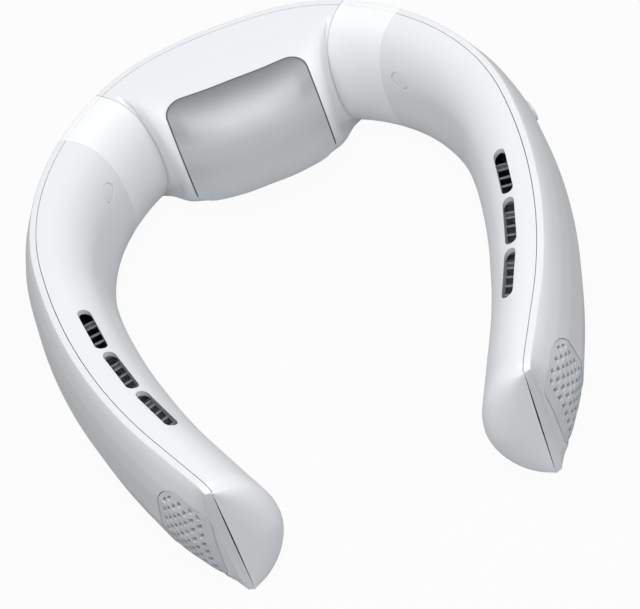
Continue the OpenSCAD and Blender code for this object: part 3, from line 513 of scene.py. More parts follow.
class Mesher:
    """Makes pieces from bmesh work."""

    @staticmethod
    def loft(rings: Rings, caps: bool = True) -> bmesh.types.BMesh:
        """Extrudes a closed ring of edges from section to section.

        Args:
            rings: sections with equally many points.
            caps: whether the two ends are filled.

        Returns:
            A new bmesh of the skin.
        """
        bm = bmesh.new()
        verts = [bm.verts.new(p) for p in rings[0]]
        edges = [bm.edges.new(pair) for pair in zip(verts, verts[1:] + verts[:1])]
        ends = [list(edges)]
        for ring in rings[1:]:
            made = bmesh.ops.extrude_edge_only(bm, edges=edges)["geom"]
            fresh = {g for g in made if isinstance(g, bmesh.types.BMVert)}
            verts = [next(e.other_vert(v) for e in v.link_edges if e.other_vert(v) in fresh) for v in verts]
            for twin, place in zip(verts, ring):
                twin.co = place
            edges = [g for g in made if isinstance(g, bmesh.types.BMEdge) and fresh.issuperset(g.verts)]
        ends.append(edges)
        if caps:
            for loop in ends:
                bmesh.ops.edgeloop_fill(bm, edges=loop)
        bmesh.ops.recalc_face_normals(bm, faces=bm.faces)
        return bm

    @staticmethod
    def order(bm: bmesh.types.BMesh) -> None:
        """Lists points, edges and faces by their place, because operators may list them at random.

        Args:
            bm: the bmesh.
        """
        way = Vector(LISTING_WAY)
        bm.verts.sort(key=lambda v: v.co.dot(way))
        bm.verts.index_update()
        count = len(bm.verts)

        def rank(part: bmesh.types.BMEdge | bmesh.types.BMFace) -> int:
            """A number for an edge or a face that follows from its points.

            Args:
                part: the edge or the face.

            Returns:
                Its first and last point and the sum of all, in one number.
            """
            marks = [v.index for v in part.verts]
            return (min(marks) * count + max(marks)) * count + sum(marks) % count

        bm.edges.sort(key=rank)
        bm.faces.sort(key=rank)

    @staticmethod
    def shade(bm: bmesh.types.BMesh, crease: float) -> None:
        """Orders a mesh, makes every face smooth and marks the sharp edges.

        Args:
            bm: the bmesh.
            crease: degrees past which an edge is sharp.
        """
        Mesher.order(bm)
        limit = math.radians(crease)
        for f in bm.faces:
            f.smooth = True
        for e in bm.edges:
            e.smooth = len(e.link_faces) == 2 and e.calc_face_angle(math.pi) < limit

    @staticmethod
    def piece(bm: bmesh.types.BMesh, name: str, crease: float = CREASE) -> bpy.types.Object:
        """Turns a bmesh into a smooth-shaded object.

        Args:
            bm: the bmesh, which is used up.
            name: the object's name.
            crease: degrees past which an edge stays sharp.

        Returns:
            The new object, in the scene.
        """
        Mesher.shade(bm, crease)
        mesh = bpy.data.meshes.new(name)
        bm.to_mesh(mesh)
        bm.free()
        obj = bpy.data.objects.new(name, mesh)
        bpy.context.scene.collection.objects.link(obj)
        return obj

    @staticmethod
    def carve(
        obj: bpy.types.Object, cutters: list[bmesh.types.BMesh], crease: float = CREASE,
    ) -> bpy.types.Object:
        """Cuts every cutter out of a piece and shades it again.

        Args:
            obj: the piece.
            cutters: closed shapes, which are used up.
            crease: degrees past which an edge stays sharp.

        Returns:
            The piece, with a new mesh.
        """
        for bm in cutters:
            tool = Mesher.piece(bm, "cutter")
            cut = obj.modifiers.new("cut", "BOOLEAN")
            cut.operation, cut.solver, cut.object = "DIFFERENCE", "EXACT", tool
            bpy.context.view_layer.update()
            mesh = bpy.data.meshes.new_from_object(obj.evaluated_get(bpy.context.evaluated_depsgraph_get()))
            obj.modifiers.remove(cut)
            old, obj.data = obj.data, mesh
            bpy.data.meshes.remove(old)
            bpy.data.meshes.remove(tool.data)
        return Mesher.reshade(obj, crease)

    @staticmethod
    def reshade(obj: bpy.types.Object, crease: float) -> bpy.types.Object:
        """Merges the doubles of a finished mesh and shades it again.

        Args:
            obj: the piece.
            crease: degrees past which an edge stays sharp.

        Returns:
            The piece, without materials.
        """
        bm = bmesh.new()
        bm.from_mesh(obj.data)
        bmesh.ops.remove_doubles(bm, verts=bm.verts, dist=MERGE)
        Mesher.shade(bm, crease)
        bm.to_mesh(obj.data)
        bm.free()
        obj.data.materials.clear()
        return obj

    @staticmethod
    def pill(width: float, height: float, low: float, high: float, steps: int = 10) -> bmesh.types.BMesh:
        """A prism with a pill-shaped outline in the x-z plane.

        Args:
            width: its size along x, in millimetres.
            height: its size along z.
            low: where it starts along y.
            high: where it ends along y.
            steps: steps of each round end.

        Returns:
            A new bmesh.
        """
        r, rise = min(width, height) / 2, abs(height - width) / 2
        upright = height > width
        loop = []
        for end in (1, -1):
            for i in range(steps + 1):
                a = math.pi * (i / steps) + (0 if end > 0 else math.pi)
                x, z = r * math.cos(a), r * math.sin(a) + end * rise
                loop.append((x, z) if upright else (z, -x))
        return Mesher.loft([[Vector((x, y, z)) * MM for x, z in loop] for y in (low, high)])

    @staticmethod
    def disc(radius: float, low: float, high: float, segments: int = 64) -> bmesh.types.BMesh:
        """A round bar along y.

        Args:
            radius: its radius, in millimetres.
            low: where it starts along y.
            high: where it ends along y.
            segments: how many sides it has.

        Returns:
            A new bmesh.
        """
        bm = bmesh.new()
        bmesh.ops.create_circle(bm, cap_ends=True, radius=radius * MM, segments=segments)
        bmesh.ops.rotate(bm, verts=bm.verts, matrix=Matrix.Rotation(math.radians(90), 3, "X"))
        bmesh.ops.translate(bm, verts=bm.verts, vec=(0, low * MM, 0))
        made = bmesh.ops.extrude_face_region(bm, geom=list(bm.faces))["geom"]
        moved = [g for g in made if isinstance(g, bmesh.types.BMVert)]
        bmesh.ops.translate(bm, verts=moved, vec=(0, (high - low) * MM, 0))
        bmesh.ops.recalc_face_normals(bm, faces=bm.faces)
        return bm

    @staticmethod
    def moved(bm: bmesh.types.BMesh, matrix: Matrix) -> bmesh.types.BMesh:
        """Moves a bmesh, and keeps its faces pointing outwards when the move mirrors it.

        Args:
            bm: the bmesh.
            matrix: the move.

        Returns:
            The same bmesh.
        """
        bmesh.ops.transform(bm, matrix=matrix, verts=bm.verts)
        bmesh.ops.recalc_face_normals(bm, faces=bm.faces)
        return bm

    @staticmethod
    def round_over(bm: bmesh.types.BMesh, width: float, angle: float = 50.0) -> bmesh.types.BMesh:
        """Rounds the sharp edges.

        Args:
            bm: the bmesh.
            width: how far from an edge the rounding starts, in millimetres.
            angle: degrees past which an edge is sharp.

        Returns:
            The same bmesh.
        """
        Mesher.order(bm)
        sharp = [e for e in bm.edges if len(e.link_faces) == 2 and e.calc_face_angle(0) > math.radians(angle)]
        bmesh.ops.bevel(
            bm, geom=sharp, offset=width * MM, offset_type="OFFSET", segments=3, profile=0.5,
            affect="EDGES", clamp_overlap=True, material=-1,
        )
        return bm


class Grain(Enum):
    """Kinds of surface grain."""

    SMOOTH = "smooth"
    SPARK = "spark"
    BRUSHED = "brushed"


def feed(node: bpy.types.Node, values: dict[str | int, object]) -> bpy.types.Node:
    """Sets or links the inputs of a shader node.

    Args:
        node: the node.
        values: for each input, by name or number, a plain value or the socket that feeds it.

    Returns:
        The same node.
    """
    for key, value in values.items():
        if isinstance(value, bpy.types.NodeSocket):
            node.id_data.links.new(value, node.inputs[key])
        else:
            node.inputs[key].default_value = value
    return node


def add_node(tree: bpy.types.NodeTree, kind: str, values: dict[str | int, object]) -> bpy.types.Node:
    """Adds a shader node, by its type without the beginning that all of them share, and feeds it."""
    return feed(tree.nodes.new("ShaderNode" + kind), values)


def camera_mix(
    tree: bpy.types.NodeTree, share: float, lit: bpy.types.Node, seen: bpy.types.Node,
) -> bpy.types.Node:
    """Adds a mix of two shaders by what kind of ray meets it.

    Args:
        tree: the tree that gets it.
        share: how much of the second shader the camera sees.
        lit: the shader that every other ray meets.
        seen: the shader for the camera.

    Returns:
        The node that mixes them.
    """
    path = add_node(tree, "LightPath", {})
    amount = add_node(tree, "Math", {0: path.outputs["Is Camera Ray"], 1: share})
    amount.operation = "MULTIPLY"
    return add_node(tree, "MixShader", {0: amount.outputs[0], 1: lit.outputs[0], 2: seen.outputs[0]})


@dataclass(frozen=True)
class Finish:
    """One finish: its colour, gloss and fine grain, with painted shade in bands over the height where bands
    are given.
    """

    name: str
    color: Triple
    rough: float = 0.4
    metallic: float = 0.0
    coat: float = 0.0
    grain: Grain = Grain.SMOOTH
    grain_size: float = 0.5
    bump: float = 0.05
    tint: float = 0.02
    specular: float = 0.5
    coat_rough: float = 0.12
    cloud_scale: float = 45.0
    gloss_spread: float = 0.08
    bump_depth: float = 0.0001
    brush_draw: float = 0.03
    bands: Table = ()

    def material(self) -> bpy.types.Material:
        """Builds the node material, once for each finish.

        Returns:
            The material, made on first use.
        """
        ready = bpy.data.materials.get(self.name)
        if ready:
            return ready
        mat = bpy.data.materials.new(self.name)
        mat.use_nodes = True
        tree = mat.node_tree
        place = add_node(tree, "TexCoord", {}).outputs["Object"]
        fit = add_node(tree, "Mapping", {"Vector": place, "Scale": self.stretch()})
        grain = feed(self.grain_node(tree), {"Vector": fit.outputs["Vector"], "Scale": 1.0})
        value = grain.outputs["Distance"] if "Distance" in grain.outputs else grain.outputs[0]
        cloud = add_node(tree, "TexNoise", {"Vector": place, "Scale": self.cloud_scale, "Detail": 2.0})
        shade = add_node(tree, "ValToRGB", {"Fac": cloud.outputs["Fac"]})
        dark = [max(0.0, c * (1 - self.tint)) for c in self.color]
        light = [min(1.0, c * (1 + self.tint)) for c in self.color]
        for stop, tone, at in zip(shade.color_ramp.elements, (dark, light), (0.3, 0.7)):
            stop.color, stop.position = (*tone, 1), at
        color = shade.outputs["Color"]
        glossy, dull = self.rough * (1 - self.gloss_spread), self.rough * (1 + self.gloss_spread)
        gloss = add_node(
            tree, "MapRange", {"Value": value, "To Min": max(0.02, glossy), "To Max": min(1.0, dull)},
        )
        bump = add_node(
            tree, "Bump", {"Height": value, "Strength": self.bump, "Distance": self.bump_depth},
        )
        feed(tree.nodes["Principled BSDF"], {
            "Base Color": self.banded(tree, place, color) if self.bands else color,
            "Metallic": self.metallic,
            "Roughness": gloss.outputs["Result"],
            "Normal": bump.outputs["Normal"],
            "Coat Weight": self.coat,
            "Coat Roughness": self.coat_rough,
            "Specular IOR Level": self.specular,
        })
        return mat

    def banded(
        self, tree: bpy.types.NodeTree, place: bpy.types.NodeSocket, color: bpy.types.NodeSocket,
    ) -> bpy.types.NodeSocket:
        """Paints shade into a colour, darker in bands over the height.

        Args:
            tree: the material's nodes.
            place: the coordinates.
            color: the colour to darken.

        Returns:
            The socket with the darkened colour.
        """
        low, high = self.bands[0][0], self.bands[-1][0]
        height = add_node(tree, "SeparateXYZ", {"Vector": place}).outputs["Z"]
        share = add_node(tree, "MapRange", {"Value": height, "From Min": low * MM, "From Max": high * MM})
        ramp = add_node(tree, "ValToRGB", {"Fac": share.outputs["Result"]})
        stops = ramp.color_ramp.elements
        for z, level in self.bands[1:-1]:
            stops.new((z - low) / (high - low)).color = (level, level, level, 1)
        for stop, (_, level) in ((stops[0], self.bands[0]), (stops[-1], self.bands[-1])):
            stop.color = (level, level, level, 1)
        mix = tree.nodes.new("ShaderNodeMix")
        mix.data_type, mix.blend_type = "RGBA", "MULTIPLY"
        return feed(mix, {"Factor": 1.0, 6: color, 7: ramp.outputs["Color"]}).outputs[2]

    def stretch(self) -> Triple:
        """How the grain is drawn out.

        Returns:
            Its scale along the three axes, where brushed grain is long along x.
        """
        per_metre = 1 / (self.grain_size * MM)
        along = per_metre * self.brush_draw if self.grain is Grain.BRUSHED else per_metre
        return (along, per_metre, per_metre)

    def grain_node(self, tree: bpy.types.NodeTree) -> bpy.types.Node:
        """Adds the texture that draws the grain.

        Args:
            tree: the material's nodes.

        Returns:
            Its node: cells for sparks, noise for the rest.
        """
        if self.grain is Grain.SPARK:
            return add_node(tree, "TexVoronoi", {})
        return add_node(tree, "TexNoise", {"Detail": 3.0})


FINISHES: dict[str, Finish] = {
    "white_shell": Finish(
        "white_satin_plastic", (0.86, 0.875, 0.89), rough=0.34, coat=0.25, grain_size=0.35, bump=0.04,
        tint=0.006,
    ),
    "soft_sleeve": Finish(
        "white_silicone", (0.96, 0.968, 0.975), rough=0.45, grain_size=0.3, tint=0.008,
    ),
    "cold_metal": Finish(
        "satin_cold_metal_painted_shade", (0.90, 0.925, 0.94), rough=0.46, metallic=0.35, grain_size=0.12, bump=0.06,
        tint=0.01,
        # Painted shade on the plate: its colour darkens towards the plate's top edge.
        bands=((14.0, 1.0), (22.0, 0.88), (34.0, 0.70), (43.0, 0.63), (47.0, 0.43), (52.0, 0.27)),
    ),
    "dark_seal": Finish(
        "dark_rubber_seal", (0.10, 0.11, 0.12), rough=0.6, grain=Grain.SPARK, grain_size=0.25,
    ),
    "light_grille": Finish(
        "light_grille_plastic", (0.66, 0.68, 0.69), rough=0.42, grain=Grain.SPARK, grain_size=0.3,
    ),
    "soft_plug": Finish(
        "white_rubber_plug", (0.82, 0.835, 0.85), rough=0.5, grain=Grain.SPARK, grain_size=0.25,
    ),
    "slot_grey": Finish(
        "slot_grey_plastic", (0.24, 0.262, 0.27), rough=0.5, grain=Grain.SPARK, grain_size=0.3, tint=0.08,
    ),
    "dark_plastic": Finish(
        "dark_inner_plastic", (0.03, 0.032, 0.035), rough=0.55, grain=Grain.SPARK, grain_size=0.35, tint=0.1,
    ),
    "circuit_board": Finish(
        "green_board", (0.015, 0.09, 0.04), rough=0.35, coat=0.4, grain=Grain.SPARK, grain_size=0.8,
        tint=0.25,
    ),
    "steel_screw": Finish(
        "bright_screw_steel", (0.55, 0.55, 0.56), rough=0.28, metallic=1.0, grain=Grain.BRUSHED,
        grain_size=0.1,
    ),
    "bracket_steel": Finish(
        "zinc_steel", (0.36, 0.37, 0.38), metallic=1.0, grain=Grain.SPARK, grain_size=1.6, tint=0.12,
    ),
    "raw_aluminium": Finish(
        "raw_aluminium", (0.62, 0.63, 0.65), rough=0.35, metallic=1.0, grain=Grain.BRUSHED,
        grain_size=0.12,
    ),
    "ceramic_tile": Finish(
        "white_ceramic", (0.80, 0.78, 0.74), rough=0.45, grain=Grain.SPARK, grain_size=0.2,
    ),
    "cell_wrap": Finish(
        "blue_shrink_film", (0.05, 0.13, 0.30), rough=0.3, coat=0.3, grain_size=3.0, bump=0.15, tint=0.1,
    ),
    "key_plastic": Finish(
        "pale_key_plastic", (0.70, 0.72, 0.74), rough=0.36, coat=0.2, grain_size=0.3,
    ),
    "clear_lens": Finish("clear_lens", (0.80, 0.90, 0.95), rough=0.12, coat=0.8, bump=0.01),
    "impeller_plastic": Finish(
        "pale_wheel_plastic", (0.62, 0.64, 0.66), rough=0.45, grain=Grain.SPARK, grain_size=0.3,
    ),
}
# Painted shade: the outer shells' white is darkened over the side walls below the rim and stays full white at
# the top edge, where the light falls.
OUTSIDE_PAINTED_SHADE = replace(
    FINISHES["white_shell"], name="white_plastic_painted_shade",
    bands=((6.0, 0.9), (20.0, 0.84), (44.0, 0.82), (50.0, 0.86), (54.0, 1.0)),
)


def dress(obj: bpy.types.Object, slot: str, outside: bool = False) -> bpy.types.Object:
    """Gives a piece the finish of a record slot and reports it.

    Args:
        obj: the piece.
        slot: the record slot.
        outside: whether it is a shell on the outside, which takes painted shade below its rim.

    Returns:
        The dressed piece.
    """
    finish = OUTSIDE_PAINTED_SHADE if outside else FINISHES[slot]
    obj.data.materials.clear()
    obj.data.materials.append(finish.material())
    LOG.info("%s: %d faces, %s", obj.name, len(obj.data.polygons), finish.name)
    return obj


class Assembly:
    """A sub-assembly whose rigid pieces ride on one body."""

    body: str

    def settle(self, obj: bpy.types.Object, slot: str, node: str) -> None:
        """Dresses a piece, rides it on the body and lets it stand for a node.

        Args:
            obj: the piece.
            slot: its record slot.
            node: the CAD node that it stands for.
        """
        # Outer shells take the white with painted shade below the rim.
        dress(obj, slot, "outer_shell" in node)
        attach(obj, self.body)
        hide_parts(node)


@dataclass
class BackSection(Assembly):
    """The section at the nape: two shells, the cooling plate and its seal."""

    steps: int = 64
    columns: int = 24
    plate_w: float = 51.6
    plate_corner: float = 7.0
    plate_proud: float = 0.6
    plate_t: float = 2.0
    plate_top: float = 62.0
    plate_low: float = -27.0
    plate_curve: float = 0.72
    plate_edge: float = 0.4
    seal_w: float = 0.5
    seal_gap: float = 0.04
    seal_sink: float = 0.05
    seal_grip: float = 0.02
    vent_count: int = 9
    vent_w: float = 1.8
    vent_h: float = 22.0
    vent_pitch: float = 4.4
    body: str = "back"

    def stations(self) -> list[float]:
        """Stations from one sleeve to the other, negative on the left."""
        return spread(-FORM.sleeve_start, FORM.sleeve_start, 2 * self.steps)

    def rings(self, outline: Callable[[float], Outline]) -> Rings:
        """Sections along the back.

        Args:
            outline: gives the outline at a station.

        Returns:
            The sections' points, from the left sleeve to the right one.
        """
        places = [(abs(s), -1 if s < 0 else 1) for s in self.stations()]
        return [FORM.section(s, FORM.fan(s), outline(s), side) for s, side in places]

    def patch_ring(self, x: float, grow: float, off: float, steps: int = 40) -> list[Vector]:
        """One column of a patch on the plate's curved face.

        Args:
            x: the column's place.
            grow: how far the patch is larger than the plate, all round.
            off: how far it stands out of the case's surface.
            steps: how many steps the column has.

        Returns:
            Its points in metres, from the patch's top edge to its bottom edge.
        """
        w, r = self.plate_w / 2 + grow, self.plate_corner + grow
        d = max(0.0, abs(x) - (w - r))
        cut = r - math.sqrt(max(0.0, r * r - d * d))
        degree = math.degrees(1) / (self.plate_curve * FORM.center_depth)
        top, low = self.plate_top + (grow - cut) * degree, self.plate_low - (grow - cut) * degree
        s = FORM.back_r * math.asin(min(1.0, abs(x) / FORM.back_r))
        out = []
        for t in (math.radians(a) for a in spread(top, low, steps)):
            reach, lift = FORM.arc_point(t, FORM.roundness(s))
            n = FORM.lip + (FORM.depth(s) - FORM.lip + off) * reach
            out.append(Vector((x, FORM.rim(s).y - n, FORM.mid_z + lift * (FORM.mid_z + off))) * MM)
        return out

    def patch(self, grow: float, outside: float, inside: float) -> bmesh.types.BMesh:
        """A curved slab on the plate's face.

        Args:
            grow: how far it is larger than the plate, all round.
            outside: how far its outer face stands out of the case's surface.
            inside: the same for its inner face, which is negative further in.

        Returns:
            A new bmesh.
        """
        w = self.plate_w / 2 + grow
        rings = []
        for i in range(-self.columns, self.columns + 1):
            x = w * math.sin(math.pi / 2 * i / self.columns)
            rings.append(self.patch_ring(x, grow, outside) + self.patch_ring(x, grow, inside)[::-1])
        return Mesher.loft(rings)

    def build(self) -> None:
        """Builds and dresses every piece of the section."""
        inner = Mesher.piece(Mesher.loft(self.rings(FORM.inner_outline)), "back_inner_shell")
        opening = self.patch(self.seal_w + self.seal_gap, self.plate_proud + PAST, -FORM.wall - PAST)
        self.settle(Mesher.carve(inner, [opening]), "white_shell", "center_inner_shell")
        outer = Mesher.piece(Mesher.loft(self.rings(FORM.outer_outline)), "back_outer_shell", SHELL_CREASE)
        self.settle(Mesher.carve(outer, self.slits(), SHELL_CREASE), "white_shell", "center_outer_shell")
        under = self.plate_proud - self.plate_t
        plate = Mesher.round_over(self.patch(0, self.plate_proud, under), self.plate_edge)
        self.settle(Mesher.piece(plate, "cold_plate_face"), "cold_metal", "cooling_plate")
        seal = Mesher.piece(self.patch(self.seal_w, -self.seal_sink, under), "plate_seal")
        Mesher.carve(seal, [self.patch(self.seal_grip, PAST, -FORM.wall - PAST)])
        self.settle(seal, "dark_seal", "plate_gasket")

    def slits(self) -> list[bmesh.types.BMesh]:
        """Cutters of the vent slits in the outer shell.

        Returns:
            One for each slit.
        """
        face = FORM.rim(0).y
        cutters = []
        for i in range(self.vent_count):
            slit = Mesher.pill(self.vent_w, self.vent_h, face - FORM.wall, face + FORM.side_bulge + PAST)
            across = (i - (self.vent_count - 1) / 2) * self.vent_pitch
            cutters.append(Mesher.moved(slit, Matrix.Translation(Vector((across, 0, FORM.mid_z)) * MM)))
        return cutters


@dataclass
class Arm(Assembly):
    """One arm: two shells, the opening for its grille, and its screw plug, with the sleeve that leads to it.
    """

    side: Side
    steps: int = 110
    tip_rings: int = 18
    slot_len: float = 20.0
    slot_w: float = 4.2
    slot_pitch: float = 23.2
    slot_inset: float = 11.0
    slot_drift: float = 0.4
    slot_back: float = 97.0
    slot_count: int = 3
    plug_back: float = 8.0
    plug_rise: float = 11.5
    plug_d: float = 6.6
    plug_gap: float = 0.2
    plug_seat: float = 14.8
    plug_sink: float = 0.12
    plug_edge: float = 0.35
    plug_columns: int = 24
    grille_back: float = 12.4
    grille_drop: float = 2.4
    grille_lean: float = 4.0
    grille_w: float = 20.2
    grille_h: float = 44.5
    grille_gap: float = 0.25
    grille_floor: float = -1.6
    grille_steps: int = 24
    battery_back: float = 42.0
    power_x: float = -8.0
    power_d: float = 10.0
    mode_x: float = 7.5
    mode_d: float = 8.0
    key_clearance: float = 0.08
    lens_d: float = 2.6
    lens_rise: float = 7.0
    port_w: float = 8.94
    port_h: float = 3.16
    port_gap: float = 0.2
    sleeve_steps: int = 40
    sleeve_fold: float = 0.3
    sleeve_plain: float = 0.6
    sleeve_rim: Table = ((0.0, 0.2), (0.06, 0.06), (0.2, 0.0))
    bend_margin: float = 1.0
    bend_depth: float = 8.0

    @property
    def body(self) -> str:
        """The arm's rigid body."""
        return f"{self.side.word}_arm"

    @property
    def plug_s(self) -> float:
        """Station of the screw plug."""
        return FORM.sleeve_end + self.plug_back

    @property
    def battery_s(self) -> float:
        """Station of the keys or the port."""
        return FORM.sleeve_end + self.battery_back

    @property
    def grille_s(self) -> float:
        """Station of the grille's middle."""
        return FORM.half_len - self.grille_back

    def name(self, word: str) -> str:
        """A piece's name with the arm's side."""
        return f"{self.side.word}_{word}"

    def at(self, s: float, lift: float = 0.0) -> Matrix:
        """The frame at a station, raised by lift millimetres."""
        return FORM.basis(s, self.side.value) @ Matrix.Translation((0, 0, lift * MM))

    def tip_shares(self) -> list[float]:
        """Shares of the tip's turn, closer together towards its end."""
        return [math.sin(math.pi / 2 * i / self.tip_rings) for i in range(1, self.tip_rings + 1)]

    def skin(
        self, along: Callable[[float], Outline], round_tip: Callable[[float], Outline],
    ) -> bmesh.types.BMesh:
        """The skin of one of the arm's shells.

        Args:
            along: gives the outline at a station.
            round_tip: gives the outline at a share of the tip's turn.

        Returns:
            A new bmesh.
        """
        rings = FORM.sections(spread(FORM.sleeve_end, FORM.half_len, self.steps), along, self.side.value)
        for k in self.tip_shares():
            rings.append(FORM.section(FORM.half_len, FORM.tip_angle(k), round_tip(k), self.side.value))
        return Mesher.loft(rings)

    def inner_shell(self) -> bpy.types.Object:
        """Builds the shell on the neck's side.

        Returns:
            The shell, with its slots and the recess of the plug.
        """
        skin = self.skin(FORM.inner_outline, lambda k: FORM.inner_outline(FORM.half_len, k))
        shell = Mesher.piece(skin, self.name("neck_side_shell"))
        cutters = []
        lay = Matrix.Rotation(math.radians(90), 4, "X")
        for i in range(self.slot_count):
            s = FORM.half_len - self.slot_back + self.slot_len / 2 + i * self.slot_pitch
            slot = Mesher.pill(self.slot_len, self.slot_w, FORM.mid_z, FORM.height + PAST)
            inset = (self.slot_inset + i * self.slot_drift) * MM
            cutters.append(Mesher.moved(slot, self.at(s) @ Matrix.Translation((0, -inset, 0)) @ lay))
        recess = Mesher.disc(self.plug_d / 2 + self.plug_gap, -2 * FORM.arm_depth, -self.plug_seat)
        cutters.append(Mesher.moved(recess, self.at(self.plug_s, FORM.mid_z + self.plug_rise)))
        return Mesher.carve(shell, cutters)

    def outer_shell(self) -> bpy.types.Object:
        """Builds the shell on the outside.

        Returns:
            The shell, with the grille's opening and those of the keys or the port.
        """
        skin = self.skin(
            FORM.outer_outline, lambda k: FORM.outer_outline(FORM.half_len, FORM.tip_fill * k),
        )
        shell = Mesher.piece(skin, self.name("outside_shell"), SHELL_CREASE)
        cutters = [self.grille_block(2 * self.grille_gap)]
        spot = self.at(self.battery_s, FORM.mid_z)
        high = FORM.side_bulge + PAST
        if self.side is Side.RIGHT:
            for x, d in ((self.power_x, self.power_d), (self.mode_x, self.mode_d)):
                bore = Mesher.disc(d / 2 + self.key_clearance, 0, high)
                cutters.append(Mesher.moved(bore, spot @ Matrix.Translation((x * MM, 0, 0))))
            lens = Mesher.disc(self.lens_d / 2, 0, high, 32)
            cutters.append(Mesher.moved(lens, spot @ Matrix.Translation((0, 0, self.lens_rise * MM))))
        else:
            mouth = Mesher.pill(self.port_w + 2 * self.port_gap, self.port_h + 2 * self.port_gap, 0, high)
            cutters.append(Mesher.moved(mouth, spot))
        return Mesher.carve(shell, cutters, SHELL_CREASE)

    def grille_block(self, grow: float) -> bmesh.types.BMesh:
        """A leaning pill-shaped block through the outer wall at the grille.

        Args:
            grow: how much wider and higher than the grille it is.

        Returns:
            A new bmesh.
        """
        high = FORM.side_bulge + 3 * PAST
        width, height = self.grille_w + grow, self.grille_h + grow
        block = Mesher.pill(width, height, self.grille_floor, high, self.grille_steps)
        lean = Matrix.Rotation(math.radians(self.grille_lean), 4, "Y")
        return Mesher.moved(block, self.at(self.grille_s, FORM.mid_z - self.grille_drop) @ lean)

    def sleeve(self) -> bpy.types.Object:
        """Builds the soft sleeve round the hinge.

        Returns:
            A closed band with rounded rims.
        """
        low, high = FORM.sleeve_start + FORM.sleeve_gap, FORM.sleeve_end - FORM.sleeve_gap
        middle = spread(low + self.sleeve_plain, high - self.sleeve_plain, self.sleeve_steps)
        plan = [(low + self.sleeve_fold, FORM.wall), *((low + d, inset) for d, inset in self.sleeve_rim)]
        plan += [(s, 0.0) for s in middle]
        plan += [(high - d, inset) for d, inset in self.sleeve_rim[::-1]]
        plan.append((high - self.sleeve_fold, FORM.wall))
        side = self.side.value
        rings = [FORM.section(s, FORM.fan(s), FORM.full_outline(s, inset), side) for s, inset in plan]
        bm = Mesher.loft([*rings, rings[0]], caps=False)
        bmesh.ops.remove_doubles(bm, verts=bm.verts, dist=MERGE)
        bmesh.ops.recalc_face_normals(bm, faces=bm.faces)
        return Mesher.piece(bm, self.name("soft_sleeve"), SOFT_CREASE)

    def plug(self) -> bpy.types.Object:
        """Builds the soft plug over the arm's screw.

        Returns:
            A disc with a rounded rim, whose face follows the shell.
        """
        spot = self.at(self.plug_s, FORM.mid_z + self.plug_rise)
        bm = Mesher.disc(self.plug_d / 2, -FORM.arm_depth - 4 * PAST, -self.plug_seat)
        obj = Mesher.piece(Mesher.moved(bm, spot), self.name("plug_face"))

        def outside(s: float) -> Outline:
            """The space outside the plug's face.

            Args:
                s: the station.

            Returns:
                Its outline there.
            """
            width = FORM.depth(s) - FORM.lip - self.plug_sink
            face = FORM.half_round(width, FORM.mid_z - self.plug_sink, FORM.roundness(s))
            return face + [(FORM.lip + FORM.center_depth, z) for _, z in face[::-1]]

        stations = spread(self.plug_s - self.plug_d, self.plug_s + self.plug_d, self.plug_columns)
        Mesher.carve(obj, [Mesher.loft(FORM.sections(stations, outside, self.side.value))])
        bm = bmesh.new()
        bm.from_mesh(obj.data)
        Mesher.round_over(bm, self.plug_edge)
        bm.to_mesh(obj.data)
        bm.free()
        return Mesher.reshade(obj, SOFT_CREASE)

    def build(self) -> None:
        """Builds and dresses every piece of the arm."""
        pieces = (
            (self.inner_shell(), "white_shell", "arm_inner_shell"),
            (self.outer_shell(), "white_shell", "arm_outer_shell"),
            (self.plug(), "soft_plug", "screw_plug"),
        )
        for obj, slot, node in pieces:
            self.settle(obj, slot, self.name(node))
        band = dress(self.sleeve(), "soft_sleeve")
        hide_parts(self.name("sleeve"))
        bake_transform(band)


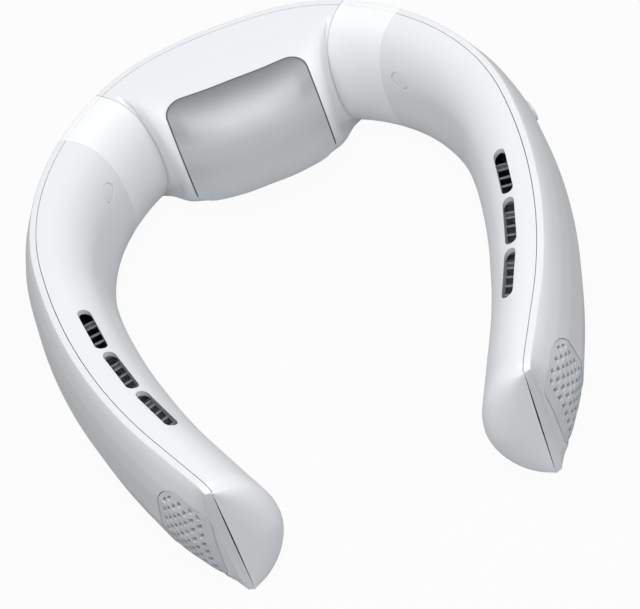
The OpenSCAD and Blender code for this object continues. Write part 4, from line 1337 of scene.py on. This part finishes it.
@dataclass
class Studio:
    """The floor, the lamps, the world and the camera."""

    rise: float = 48.0
    roll: float = 21.06
    distance: float = 1.097
    focal_px: float = 3270.0
    frame_px: float = 640.0
    sensor_mm: float = 36.0
    aim: Triple = (0.00044, -0.0336, 0.0275)
    lit: Triple = (0.0, 0.0, 0.03)
    lamps: tuple[tuple[str, Triple, float, float], ...] = (
        ("key_lamp", (0.02, -0.45, 1.35), 0.9, 13.3),
        ("fill_lamp", (0.9, -0.2, 0.8), 0.7, 1.0),
        ("back_lamp", (0.1, 1.1, 0.8), 0.9, 1.0),
    )
    sky_color: Triple = (0.36, 0.366, 0.372)
    floor_color: Triple = (0.5, 0.506, 0.512)
    floor_glow: float = 0.95
    floor_size: float = 6.0
    floor_z: float = -0.0005

    def camera(self) -> None:
        """Sets the camera at the photograph's angle, with its roll."""
        e, r = math.radians(self.rise), math.radians(self.roll)
        right = Vector((1, 0, 0))
        up = Vector((0, math.sin(e), math.cos(e)))
        back = Vector((0, -math.cos(e), math.sin(e)))
        x = right * math.cos(r) - up * math.sin(r)
        y = right * math.sin(r) + up * math.cos(r)
        turn = Matrix((x, y, back)).transposed().to_4x4()
        aim = Vector(self.aim) + Vector((0, SHIFT_Y * MM, 0))
        data = bpy.data.cameras.new("photo_camera")
        data.sensor_width = self.sensor_mm
        data.lens = self.focal_px / self.frame_px * self.sensor_mm
        cam = bpy.data.objects.new("photo_camera", data)
        cam.matrix_world = Matrix.Translation(aim + back * self.distance) @ turn
        bpy.context.scene.collection.objects.link(cam)
        bpy.context.scene.camera = cam

    def lights(self) -> None:
        """Hangs the soft lamps and aims them at the object."""
        for name, place, size, power in self.lamps:
            data = bpy.data.lights.new(name, "AREA")
            data.shape, data.size, data.energy = "DISK", size, power
            lamp = bpy.data.objects.new(name, data)
            lamp.location = place
            lamp.rotation_euler = (Vector(self.lit) - Vector(place)).to_track_quat("-Z", "Y").to_euler()
            bpy.context.scene.collection.objects.link(lamp)

    def world(self) -> None:
        """A soft grey sky that the camera sees as white."""
        world = bpy.data.worlds.new("soft_sky")
        world.use_nodes = True
        tree = world.node_tree
        sky = feed(tree.nodes["Background"], {"Color": (*self.sky_color, 1)})
        plain = add_node(tree, "Background", {"Color": (1, 1, 1, 1)})
        mix = camera_mix(tree, 1.0, sky, plain)
        feed(tree.nodes["World Output"], {"Surface": mix.outputs[0]})
        bpy.context.scene.world = world

    def floor(self) -> None:
        """A plain pale floor that keeps a faint shadow."""
        bm = bmesh.new()
        bmesh.ops.create_grid(bm, x_segments=1, y_segments=1, size=self.floor_size)
        bmesh.ops.translate(bm, verts=bm.verts, vec=(0, 0, self.floor_z))
        obj = Mesher.piece(bm, "studio_floor")
        mat = bpy.data.materials.new("pale_floor")
        mat.use_nodes = True
        tree = mat.node_tree
        pale = feed(tree.nodes["Principled BSDF"], {"Base Color": (*self.floor_color, 1), "Roughness": 0.9})
        mix = camera_mix(tree, self.floor_glow, pale, add_node(tree, "Emission", {}))
        feed(tree.nodes["Material Output"], {"Surface": mix.outputs[0]})
        obj.data.materials.append(mat)

    def build(self) -> None:
        """Sets the whole studio."""
        self.camera()
        self.lights()
        self.world()
        self.floor()
        bpy.context.scene.view_settings.view_transform = "Standard"


def dress_nodes() -> None:
    """Gives every carried-over CAD node the finish of its record slot."""
    for entry in frame["record"]["subparts"]:
        node = frame["nodes"][entry["node"]]
        if node.hide_render:
            continue
        finish = FINISHES[entry["material_slot"]]
        node.data.materials.clear()
        node.data.materials.append(finish.material())
        LOG.info("%s: CAD node, %s", node.name, finish.name)


def write_sizes() -> None:
    """Updates the view layer."""
    bpy.context.view_layer.update()


def main() -> None:
    """Builds the studio and the fan, and dresses them."""
    logging.basicConfig(level=logging.INFO, format="%(name)s: %(message)s")
    Studio().build()
    BackSection().build()
    for side in Side:
        Arm(side).build()
    dress_nodes()
    write_sizes()


if __name__ == "__main__":
    main()
